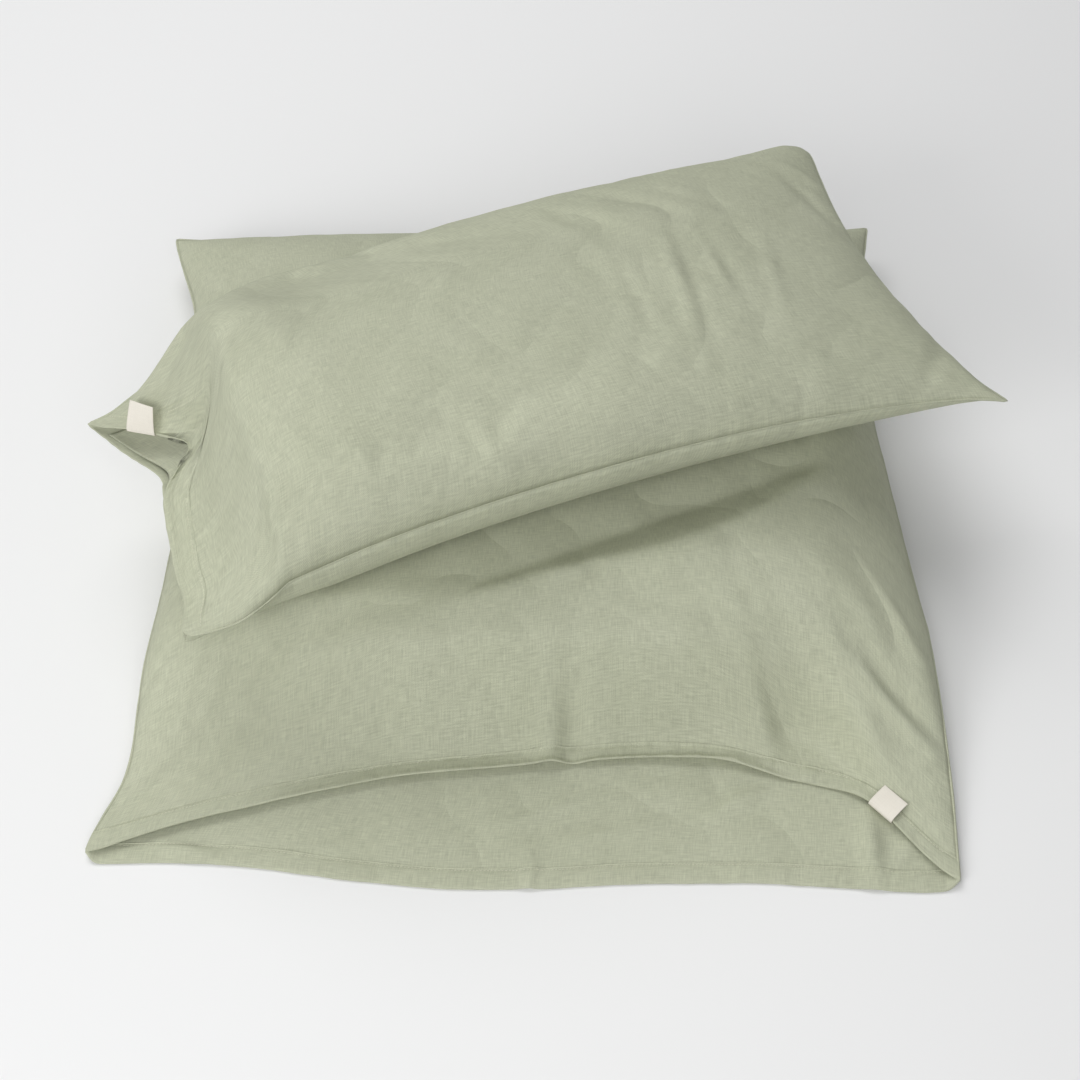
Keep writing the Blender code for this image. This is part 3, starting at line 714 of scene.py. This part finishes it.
def applied(piece):
    """The piece with its modifiers made into plain mesh."""
    graph = bpy.context.evaluated_depsgraph_get()
    mesh = bpy.data.meshes.new_from_object(piece.evaluated_get(graph))
    mesh.name = piece.name
    piece.modifiers.clear()
    piece.data = mesh
    return piece


def grid_mesh(name, grid, uv, underside=False):
    """A mesh of a grid of points, with their places on the flat cloth as its UV map."""
    across, along = grid.shape[:2]
    quads = grid_quads(np.arange(across * along).reshape(across, along), underside)
    mesh = bpy.data.meshes.new(name)
    mesh.from_pydata(grid.reshape(-1, 3).tolist(), [], quads.tolist())
    layer = mesh.uv_layers.new(name="Cloth")
    layer.data.foreach_set("uv", uv.reshape(-1, 2)[quads.ravel()].ravel().astype(np.float32))
    return mesh


def cloth_piece(name, grid, uv, material, underside=False, levels=1, thickness=CLOTH):
    """A rounded sheet with its thickness, from a grid of points."""
    piece = to_piece(name, grid_mesh(name, grid, uv, underside), material)
    rounding = piece.modifiers.new("Rounding", "SUBSURF")
    rounding.levels = rounding.render_levels = levels
    rounding.boundary_smooth = "PRESERVE_CORNERS"
    shell = piece.modifiers.new("Thickness", "SOLIDIFY")
    shell.thickness, shell.offset = thickness, 0.0
    return applied(piece)


def flat_uv(bag, flat):
    """The place of each grid point on a flat cut of that size, in metres."""
    across, along = np.meshgrid(bag.u * flat[0] / 2, bag.t * flat[1], indexing="ij")
    return np.stack([across, along], -1)


cover_uv, case_uv = flat_uv(cover_bag, COVER_FLAT), flat_uv(case_bag, CASE_FLAT)
panels = {
    "cover_top": cloth_piece("cover_top", cover_top, cover_uv, LINEN),
    "cover_bottom": cloth_piece("cover_bottom", cover_bottom, cover_uv, LINEN, True),
    "case_top": cloth_piece("case_top", case_top, case_uv, LINEN),
    "case_bottom": cloth_piece("case_bottom", case_bottom, case_uv, LINEN, True),
}
for name, piece in panels.items():
    print(name, len(piece.data.polygons), "faces")


# %% [markdown]
# ## Hems
#
# Each mouth is finished with a hem 20 mm deep: the edge is folded under twice and sewn down,
# so there are three layers, and the sewing gathers them into small pleats.  The hem is its
# own band, wrapped round the panel's edge, with finer steps than the panel so that the
# pleats can be modelled.  The band starts flush at the stitch line, stands proud, turns over
# a round edge and comes back underneath.

# %% Sampling a panel's edge
def resampled(line, count):
    """A line of points spaced evenly, through smoothed corners."""
    steps = np.linalg.norm(np.diff(line, axis=0), axis=1)
    place = np.concatenate([[0.0], np.cumsum(steps)])
    even = np.linspace(0.0, place[-1], count)
    return np.stack([np.interp(even, place, line[:, k]) for k in range(line.shape[1])], -1)


def eased(grid, radius):
    """A grid smoothed along its first axis, with its ends kept."""
    kernel = np.hanning(2 * radius + 3)[1:-1]
    kernel /= kernel.sum()
    padded = np.concatenate([2 * grid[:1] - grid[radius:0:-1], grid,
                             2 * grid[-1:] - grid[-2:-radius - 2:-1]])
    return np.stack([np.tensordot(kernel, padded[i:i + len(kernel)], (0, 0))
                     for i in range(len(grid))])


EDGE_ROWS = 6              # rows of a panel that its hem lies on
DEPTHS = np.append(np.arange(EDGE_ROWS - 1) * HEM_STEP, HEM * 1.25)


def edge_frame(panel, count):
    """Rows of points beside a panel's mouth edge, evenly spaced, with their normals."""
    rows = [resampled(panel[:, j], count) for j in range(EDGE_ROWS)]
    grid = eased(np.stack(rows, 1), 5)
    normal = np.cross(np.gradient(grid, axis=0), np.gradient(grid, axis=1))
    normal /= np.linalg.norm(normal, axis=-1, keepdims=True)
    return grid, normal


def at_depth(grid, normal, depth):
    """The line of points that far behind the edge, and its normals."""
    j = min(int(np.searchsorted(DEPTHS, depth, side="right")) - 1, EDGE_ROWS - 2)
    part = (depth - DEPTHS[j]) / (DEPTHS[j + 1] - DEPTHS[j])
    return (blend(grid[:, j], grid[:, j + 1], part),
            blend(normal[:, j], normal[:, j + 1], part))


def wander(count, seed, spacing):
    """Smooth random values from 0 to 1, one for each place along a line."""
    random = np.random.default_rng(seed)
    knots = random.random(max(4, int(count / spacing) + 3))
    place = np.linspace(0.0, len(knots) - 1.001, count)
    start = place.astype(int)
    return blend(knots[start], knots[start + 1], smooth(place - start))


print("rows under a hem, in mm from the edge:", DEPTHS * 1000)

# %% The folded band
PROFILE = (                # depth from the edge as a share of the hem, height over the panel
    (1.14, -0.0012), (1.04, 0.0003), (0.96, 0.0007), (0.90, 0.0012), (0.75, 0.0016),
    (0.50, 0.0016), (0.25, 0.0016), (0.08, 0.0015), (0.00, 0.0009), (-0.02, 0.0),
    (0.00, -0.0009), (0.08, -0.0013), (0.50, -0.0012), (0.90, -0.0010), (1.04, 0.0014))


STEPS = 420                # steps along a hem


def hem_band(name, panel, seed, pleats, roll):
    """The folded hem at a panel's mouth: roll scales its height, and pleats gives theirs at
    each share along it."""
    grid, normal = edge_frame(panel, STEPS)
    along = np.linspace(0.0, 1.0, STEPS)
    strength = np.interp(along, *np.array(pleats).T)
    ridges = (np.abs(wander(STEPS, seed, 4.2) - 0.5) * 2) ** 1.5 * strength
    lean = (wander(STEPS, seed + 1, 9.0) - 0.5) * 0.5
    ahead = grid[:, 0] - grid[:, 1]
    ahead /= np.linalg.norm(ahead, axis=-1, keepdims=True)
    band = []
    for share, height in PROFILE:
        base, up = at_depth(grid, normal, np.clip(share * HEM, 0.0, DEPTHS[-1]))
        swell = max(0.0, 1 - ((share - 0.55) / 0.6) ** 2)
        shift = np.roll(ridges, int(share * 3)) * swell * (1.0 if height > 0 else 0.3)
        past = max(0.0, -share) * HEM + 0.0004 + lean * (0.0012 if share < 0.3 else 0.0)
        base = base + up * (height * roll + shift * np.sign(height))[:, None]
        band.append(base + ahead * past[:, None])
    band = np.stack(band, 1)
    band[:, :, 2] = np.maximum(band[:, :, 2], FLOOR_GAP)
    length = np.linalg.norm(np.diff(grid[:, 0], axis=0), axis=1).sum()
    uv = np.stack(np.meshgrid(along * length, [p[0] * HEM for p in PROFILE], indexing="ij"), -1)
    return to_piece(name, grid_mesh(name, band, uv, underside=True), LINEN), (grid, normal)


# %% The four hems
hems = {}
hem_lines = {}
for name, panel, seed, roll, pleats in (
        ("cover_top_hem", cover_top, 11, 0.8,
         ((0.0, 0.0006), (0.25, 0.0005), (0.55, 0.0010), (0.62, 0.0019), (0.85, 0.0020),
          (0.93, 0.0006), (1.0, 0.0005))),
        ("cover_bottom_hem", cover_bottom, 23, 0.8, ((0.0, 0.0006), (0.6, 0.0008), (1.0, 0.001))),
        ("case_top_hem", case_top, 37, 0.45, ((0.0, 0.0002), (0.5, 0.0005), (1.0, 0.0006))),
        ("case_bottom_hem", case_bottom, 41, 0.45,
         ((0.0, 0.0002), (0.5, 0.0004), (1.0, 0.0004)))):
    hems[name], hem_lines[name] = hem_band(name, panel, seed, pleats, roll)
    print(name, len(hems[name].data.polygons), "faces")

# %% [markdown]
# ## Stitches
#
# A row of machine stitches is one short thread repeated every few millimetres, which is what
# Geometry Nodes are for.  The line of the sewing becomes a curve, the curve is cut into equal
# steps, and a small bead is set on each, turned along the line.  The beads are made real at
# the end, because instances don't survive an export.

# %% The stitch tree
STITCH = {"Pitch": 0.0032, "Length": 0.0024, "Thickness": 0.0006}


def stitch_tree():
    tree = bpy.data.node_groups.new("Stitches", "GeometryNodeTree")
    sockets = tree.interface
    sockets.new_socket("Geometry", in_out="INPUT", socket_type="NodeSocketGeometry")
    for size_name in STITCH:
        sockets.new_socket(size_name, in_out="INPUT", socket_type="NodeSocketFloat")
    sockets.new_socket("Thread", in_out="INPUT", socket_type="NodeSocketMaterial")
    sockets.new_socket("Geometry", in_out="OUTPUT", socket_type="NodeSocketGeometry")
    nodes, links = tree.nodes, tree.links
    inputs, output = nodes.new("NodeGroupInput"), nodes.new("NodeGroupOutput")
    line = nodes.new("GeometryNodeMeshToCurve")
    even = nodes.new("GeometryNodeResampleCurve")
    even.mode = "LENGTH"
    bead = nodes.new("GeometryNodeMeshIcoSphere")
    bead.inputs["Radius"].default_value = 0.5
    bead.inputs["Subdivisions"].default_value = 2
    size = nodes.new("ShaderNodeCombineXYZ")
    tangent = nodes.new("GeometryNodeInputTangent")
    turn = nodes.new("FunctionNodeAlignRotationToVector")
    turn.axis = "X"
    place = nodes.new("GeometryNodeInstanceOnPoints")
    vary = nodes.new("FunctionNodeRandomValue")
    vary.data_type = "FLOAT_VECTOR"
    vary.inputs[0].default_value = (0.0, -0.10, -0.22)
    vary.inputs[1].default_value = (0.0, 0.10, 0.22)
    vary.inputs["Seed"].default_value = 5
    jitter = nodes.new("GeometryNodeRotateInstances")
    real = nodes.new("GeometryNodeRealizeInstances")
    finish = nodes.new("GeometryNodeSetMaterial")
    for source, output_name, target, input_name in (
            (inputs, "Geometry", line, "Mesh"), (line, "Curve", even, "Curve"),
            (inputs, "Pitch", even, "Length"), (inputs, "Length", size, "X"),
            (inputs, "Thickness", size, "Y"), (inputs, "Thickness", size, "Z"),
            (tangent, "Tangent", turn, "Vector"), (even, "Curve", place, "Points"),
            (bead, "Mesh", place, "Instance"), (turn, "Rotation", place, "Rotation"),
            (size, "Vector", place, "Scale"), (place, "Instances", jitter, "Instances"),
            (vary, 0, jitter, "Rotation"), (jitter, "Instances", real, "Geometry"),
            (real, "Geometry", finish, "Geometry"), (inputs, "Thread", finish, "Material"),
            (finish, "Geometry", output, "Geometry")):
        links.new(source.outputs[output_name], target.inputs[input_name])
    return tree


STITCHES = stitch_tree()
print("stitch tree:", len(STITCHES.nodes), "nodes")


# %% The rows of stitches
def sewing(name, line):
    """A row of stitches along a line of points."""
    mesh = bpy.data.meshes.new(name)
    mesh.from_pydata(line.tolist(), [(i, i + 1) for i in range(len(line) - 1)], [])
    row = bpy.data.objects.new(name, mesh)
    bpy.context.scene.collection.objects.link(row)
    nodes = row.modifiers.new("Stitches", "NODES")
    nodes.node_group = STITCHES
    values = {**STITCH, "Thread": THREAD}
    for item in STITCHES.interface.items_tree:
        if item.in_out == "INPUT" and item.name in values:
            nodes[item.identifier] = values[item.name]
    applied(row)
    row.data.shade_smooth()
    uv = row.data.uv_layers.get("Cloth") or row.data.uv_layers.new(name="Cloth")
    places = np.empty(len(row.data.vertices) * 3)
    row.data.vertices.foreach_get("co", places)
    corners = np.empty(len(row.data.loops), np.int32)
    row.data.loops.foreach_get("vertex_index", corners)
    uv.data.foreach_set("uv", places.reshape(-1, 3)[corners][:, :2].astype(np.float32).ravel())
    return row


stitches = {}
for hem, (grid, normal) in hem_lines.items():
    name = hem.replace("hem", "stitches")
    line, up = at_depth(grid, normal, 0.93 * HEM)
    over = 0.0006 if name.startswith("case") else 0.0009
    stitches[name] = sewing(name, (line + up * over)[8:-8])
    print(name, len(stitches[name].data.polygons), "faces")

# %% [markdown]
# ## Sewn edges
#
# The panels are sewn inside out and turned, so outside there is only a fine ridge where they
# meet, drawn tight by the thread.  A tube along the edge gives the ridge.  Its radius changes
# a little along its length, as the seam allowance inside does.

# %% The ridges
RIDGE = 0.0012             # its usual radius
RIDGE_STEP = 0.003


def ridge(name, line, seed, sides=8):
    """A round ridge through the points, closed at its ends."""
    count = int(np.linalg.norm(np.diff(line, axis=0), axis=1).sum() / RIDGE_STEP)
    line = eased(resampled(line, count), 3)
    tangent = np.gradient(line, axis=0)
    tangent /= np.linalg.norm(tangent, axis=-1, keepdims=True)
    side = np.cross(tangent, (0.0, 0.0, 1.0))
    side /= np.linalg.norm(side, axis=-1, keepdims=True)
    up = np.cross(side, tangent)
    size = RIDGE * (0.8 + 0.4 * wander(count, seed, 5.0))
    size[0] = size[-1] = RIDGE * 0.2
    angle = np.linspace(0.0, 2 * math.pi, sides, endpoint=False)
    ring = (side[:, None] * np.cos(angle)[None, :, None]
            + up[:, None] * np.sin(angle)[None, :, None])
    points = (line[:, None] + ring * size[:, None, None]).reshape(-1, 3)
    points[:, 2] = np.maximum(points[:, 2], 0.0)
    faces = []
    for i in range(count - 1):
        for k in range(sides):
            n = (k + 1) % sides
            faces.append((i * sides + k, i * sides + n, (i + 1) * sides + n,
                          (i + 1) * sides + k))
    faces += [tuple(range(sides))[::-1], tuple((count - 1) * sides + k for k in range(sides))]
    mesh = bpy.data.meshes.new(name)
    mesh.from_pydata(points.tolist(), [], faces)
    bm = bmesh.new()
    bm.from_mesh(mesh)
    bmesh.ops.recalc_face_normals(bm, faces=bm.faces)
    layer = bm.loops.layers.uv.new("Cloth")
    for face in bm.faces:
        for loop in face.loops:
            i, k = divmod(loop.vert.index, sides)
            loop[layer].uv = (i * RIDGE_STEP, k * RIDGE)
    bm.to_mesh(mesh)
    bm.free()
    return to_piece(name, mesh, LINEN)


seams = {}
for prefix, panel, names in (("cover", cover_top, ("left", "right", "foot")),
                             ("case", case_top, ("back", "front", "end"))):
    for side_name, line in zip(names, (panel[0], panel[-1], panel[:, -1])):
        name = f"{prefix}_{side_name}_seam"
        seams[name] = ridge(name, line, 60 + len(seams))
print("sewn edges:", list(seams))

# %% [markdown]
# ## Labels
#
# A short woven tape is folded over each top hem and sewn in.  It is stiffer than the linen,
# so it doesn't follow the pleats: it lies on the hem as a nearly flat tab, and its fold stands
# a little off the edge.  It is left blank.

# %% Folded tape
LABEL_WIDTH = 0.029
LABEL_THICKNESS = 0.0006
LABEL_STAND = (0.0030, -0.0026)    # how far it stands off the hem, above and below


def label(name, hem, share, depth):
    """A folded tape astride the hem, on the patch between its four corners there."""
    grid = hem_lines[hem][0]
    edge = grid[:, 0]
    place = np.concatenate([[0], np.cumsum(np.linalg.norm(np.diff(edge, axis=0), axis=1))])
    first, last = (int(np.argmin(np.abs(place - share * place[-1] - LABEL_WIDTH * k)))
                   for k in (-0.5, 0.5))
    along = (edge[last] - edge[first]) / np.linalg.norm(edge[last] - edge[first])

    def patch(w):
        """The edge, the way in and the way up at a share w of the tape's width."""
        origin = blend(edge[first], edge[last], w)
        inner = blend(grid[first, -1] - edge[first], grid[last, -1] - edge[last], w)
        inner -= along * (inner @ along)
        inner /= np.linalg.norm(inner)
        return origin, inner, np.cross(along, inner)

    stand = [0.0]
    for i in range(first, last + 1):
        origin, inner, up = patch((i - first) / (last - first))
        stand += [float((grid[i, j] - origin) @ up) for j in range(EDGE_ROWS)]
    top, under = max(stand) + LABEL_STAND[0], min(stand) + LABEL_STAND[1]
    profile = [(depth * 0.4, under), (depth * 0.2, under), (0.002, under * 0.9),
               (-0.0012, under * 0.6), (-0.0024, 0.0), (-0.0012, top * 0.6), (0.002, top * 0.9),
               (depth * 0.25, top), (depth * 0.5, top + 0.0002), (depth * 0.75, top),
               (depth - 0.001, top - 0.0004), (depth, top - 0.0008)]
    steps = np.linspace(-0.5, 0.5, 9)
    points = []
    for step in steps:
        origin, inner, up = patch(step + 0.5)
        points.append([origin + inner * deep + up * high for deep, high in profile])
    lengths = np.concatenate([[0], np.cumsum(np.hypot(*np.diff(np.array(profile), axis=0).T))])
    uv = np.stack(np.meshgrid(steps * LABEL_WIDTH, lengths, indexing="ij"), -1)
    print(name, "stands", round(top * 1000, 1), "mm over the hem line")
    return cloth_piece(name, np.array(points), uv, TAPE, levels=2, thickness=LABEL_THICKNESS)


labels = {"cover_tape": label("cover_tape", "cover_top_hem", 0.888, 0.020),
          "case_tape": label("case_tape", "case_top_hem", 0.195, 0.027)}
print("labels:", list(labels))

# %% [markdown]
# ## What is inside
#
# The duvet is a bag of cotton sewn through in squares, and the pillow a plain cotton bag.  Both
# are almost hidden, but a low view looks into the mouths, and a part that is only a skin is a
# poor part.  Each insert is a closed form drawn in from its cover, and the quilting is a dip
# along its sewn lines.

# %% The inserts
def lowest_near(heights, reach):
    """The lowest height within so many grid steps, so that a steep slope is cleared too."""
    padded = np.pad(heights, reach, mode="edge")
    rows, columns = heights.shape
    return np.min([padded[i:i + rows, j:j + columns]
                   for i in range(2 * reach + 1) for j in range(2 * reach + 1)], axis=0)


def heights_below(upper, lower):
    """The lower panel's height straight below each point of the upper one."""
    heights = np.empty(upper.shape[:2])
    for i in range(len(upper)):
        run = (upper[i, -1] - upper[i, 0])[:2]
        places = np.maximum.accumulate(lower[i, :, :2] @ run)
        heights[i] = np.interp(upper[i, :, :2] @ run, places, lower[i, :, 2])
    return heights


MARGIN = 0.003             # from the insert to the cover over it
QUILTING = (0.009, 0.03)   # depth of a sewn line, and its width as a share of the insert


def insert(name, upper, lower, start, quilt, width):
    """A closed padded form between two panels, from that row to the closed end."""
    part = (np.abs(np.linspace(-1, 1, upper.shape[0])) < width, slice(start, -4))
    high = lowest_near(upper[..., 2], 2)[part] - MARGIN
    low = -lowest_near(-heights_below(upper, lower), 1)[part] + MARGIN
    middle = (upper[part][..., 2] + (low - MARGIN)) / 2
    columns, rows = middle.shape
    u, v = np.meshgrid(np.linspace(-1, 1, columns), np.linspace(-1, 1, rows), indexing="ij")
    close = (1 - np.abs(u) ** 8) * (1 - np.abs(v) ** 8)
    dip = np.zeros_like(u)
    for line in quilt:
        for value in (u, v):
            dip = np.maximum(dip, np.exp(-((value - line) / QUILTING[1]) ** 2))
    high = high - QUILTING[0] * dip
    top = upper[part].copy()
    bottom = top.copy()
    top[..., 2] = blend(middle, np.maximum(high, middle), close)
    bottom[..., 2] = blend(middle, np.minimum(low, middle), close)
    ids = np.arange(columns * rows).reshape(columns, rows)
    under = ids + columns * rows
    under[0], under[-1], under[:, 0], under[:, -1] = ids[0], ids[-1], ids[:, 0], ids[:, -1]
    mesh = bpy.data.meshes.new(name)
    mesh.from_pydata(np.concatenate([top.reshape(-1, 3), bottom.reshape(-1, 3)]).tolist(), [],
                     np.concatenate([grid_quads(ids), grid_quads(under, True)]).tolist())
    bm = bmesh.new()
    bm.from_mesh(mesh)
    loose = [vertex for vertex in bm.verts if not vertex.link_faces]
    bmesh.ops.delete(bm, geom=loose, context="VERTS")
    layer = bm.loops.layers.uv.new("Cloth")
    for face in bm.faces:
        for loop in face.loops:
            loop[layer].uv = loop.vert.co.xy
    bm.to_mesh(mesh)
    bm.free()
    return to_piece(name, mesh, COTTON)


cover_start = int(np.argmin(np.abs(cover_top[48, :, 1] - SHIFT[1] - COVER_FRONT)))
case_start = int(np.argmin(np.abs(case_bag.t - 0.14)))
duvet_insert = insert("duvet_insert", cover_top, cover_bottom, cover_start, (-0.34, 0.34), 0.94)
pillow_insert = insert("pillow_insert", case_top, case_bottom, case_start, (), 0.86)
print("inserts start at rows", cover_start, case_start)

# %% [markdown]
# The pillowcase has an inner flap: a strip of the same linen from the bottom lip, tucked over
# the end of the pillow, so that no cotton shows in the mouth.

# %% The inner flap
def inner_flap(name, upper, lower, rows):
    """A strip that climbs from near the lower panel to near the upper one."""
    part = (slice(4, -4), slice(1, rows + 1))
    lift = smooth(np.linspace(0.0, 1.0, rows)[None, :, None] * 1.3 - 0.1)
    return cloth_piece(name, blend(lower[part], upper[part], 0.12 + 0.62 * lift),
                       case_uv[part], LINEN)


flap = inner_flap("case_inner_flap", case_top, case_bottom, 24)
print("inner flap:", len(flap.data.polygons), "faces")

# %% [markdown]
# ## Floor, light and camera
#
# The set lies on a pale seamless floor.  One hard lamp would cut deep shadows into the folds,
# so an even pale sky fills them and three broad discs, in front, behind and at the left, model
# the form.  The camera stands in front and looks down steeply through a long lens.

# %% Floor
def plain_floor():
    """A flat pale floor, much wider than any view of the set."""
    mesh = bpy.data.meshes.new("floor")
    bm = bmesh.new()
    bmesh.ops.create_grid(bm, x_segments=1, y_segments=1, size=30.0)
    bm.to_mesh(mesh)
    bm.free()
    material, nodes, links = new_material("pale_floor")
    shader = nodes["Principled BSDF"]
    for socket, value in (("Base Color", (0.83, 0.83, 0.83, 1)), ("Roughness", 0.85),
                          ("Specular IOR Level", 0.2)):
        shader.inputs[socket].default_value = value
    floor = bpy.data.objects.new("floor", mesh)
    bpy.context.scene.collection.objects.link(floor)
    mesh.materials.append(material)
    return floor


floor = plain_floor()
print("floor staged")


# %% Light
LAMPS = (                  # name, place, width of the disc, watts
    ("front", (0.0, -2.4, 2.3), 2.4, 36.0),
    ("back", (-0.8, 1.4, 2.7), 2.4, 48.0),
    ("left", (-2.0, -2.2, 1.8), 1.6, 39.0),
)
LAMP_TARGET = Vector((0, 0, 0.1))
for name, place, size, power in LAMPS:
    data = bpy.data.lights.new(name, "AREA")
    data.shape = "DISK"
    data.size, data.energy = size, power
    lamp = bpy.data.objects.new(name, data)
    lamp.location = place
    lamp.rotation_euler = (Vector(place) - LAMP_TARGET).to_track_quat("Z", "Y").to_euler()
    bpy.context.scene.collection.objects.link(lamp)
world = bpy.data.worlds.new("studio")
bpy.context.scene.world = world
world.use_nodes = True
sky = world.node_tree.nodes["Background"]
sky.inputs["Color"].default_value = (0.98, 0.99, 1.0, 1)
sky.inputs["Strength"].default_value = 0.27
bpy.context.scene.view_settings.view_transform = "Standard"
print("lamps:", [lamp[0] for lamp in LAMPS])

# %% Camera
LENS = 73.3                # on a 36 mm sensor
ELEVATION, BEARING = 0.927, 0.0028    # in radians
DISTANCE = 2.168
LOOK_AT = Vector((DUVET_MIDDLE[0] + 0.0163, DUVET_MIDDLE[1] - 0.0004, 0.0))
data = bpy.data.cameras.new("camera")
data.lens, data.sensor_width = LENS, 36.0
camera = bpy.data.objects.new("camera", data)
back = Vector((math.sin(BEARING) * math.cos(ELEVATION),
               -math.cos(BEARING) * math.cos(ELEVATION), math.sin(ELEVATION)))
camera.location = LOOK_AT + back * DISTANCE
camera.rotation_euler = back.to_track_quat("Z", "Y").to_euler()
bpy.context.scene.collection.objects.link(camera)
bpy.context.scene.camera = camera
print("camera at", np.round(camera.location, 3))

# %% [markdown]
# ## Which piece moves with what
#
# The pillow can be lifted off, so its pieces ride on their own body.  Every CAD solid here is
# soft, and each is replaced by a finished piece.

# %% Bodies and replaced parts
REPLACED = {
    "duvet_insert": ("duvet_top_shell", "duvet_bottom_shell", "duvet_piping",
                     "duvet_baffles", *(f"duvet_filling_{a}_{b}" for a in (1, 2, 3)
                                        for b in (1, 2, 3))),
    "pillow_insert": ("pillow_top_shell", "pillow_bottom_shell", "pillow_piping",
                      "pillow_filling"),
    "case_inner_flap": ("pillowcase_inner_flap",),
}
for short, packed in (("cover", "cover"), ("case", "pillowcase")):
    REPLACED[f"{short}_tape"] = (f"{packed}_label",)
    for side in ("top", "bottom"):
        REPLACED[f"{short}_{side}"] = (f"{packed}_{side}_panel",)
        REPLACED[f"{short}_{side}_stitches"] = (f"{packed}_{side}_hem_thread",)
for name in seams:
    REPLACED[name] = (name.replace("case_", "pillowcase_"),)

made = {**panels, **hems, **stitches, **seams, **labels, "duvet_insert": duvet_insert,
        "pillow_insert": pillow_insert, "case_inner_flap": flap}
for name, piece in made.items():
    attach(piece, "pillow" if name.startswith(("case", "pillow")) else "duvet")
    if name in REPLACED:
        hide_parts(*REPLACED[name])
print("pieces:", len(made))
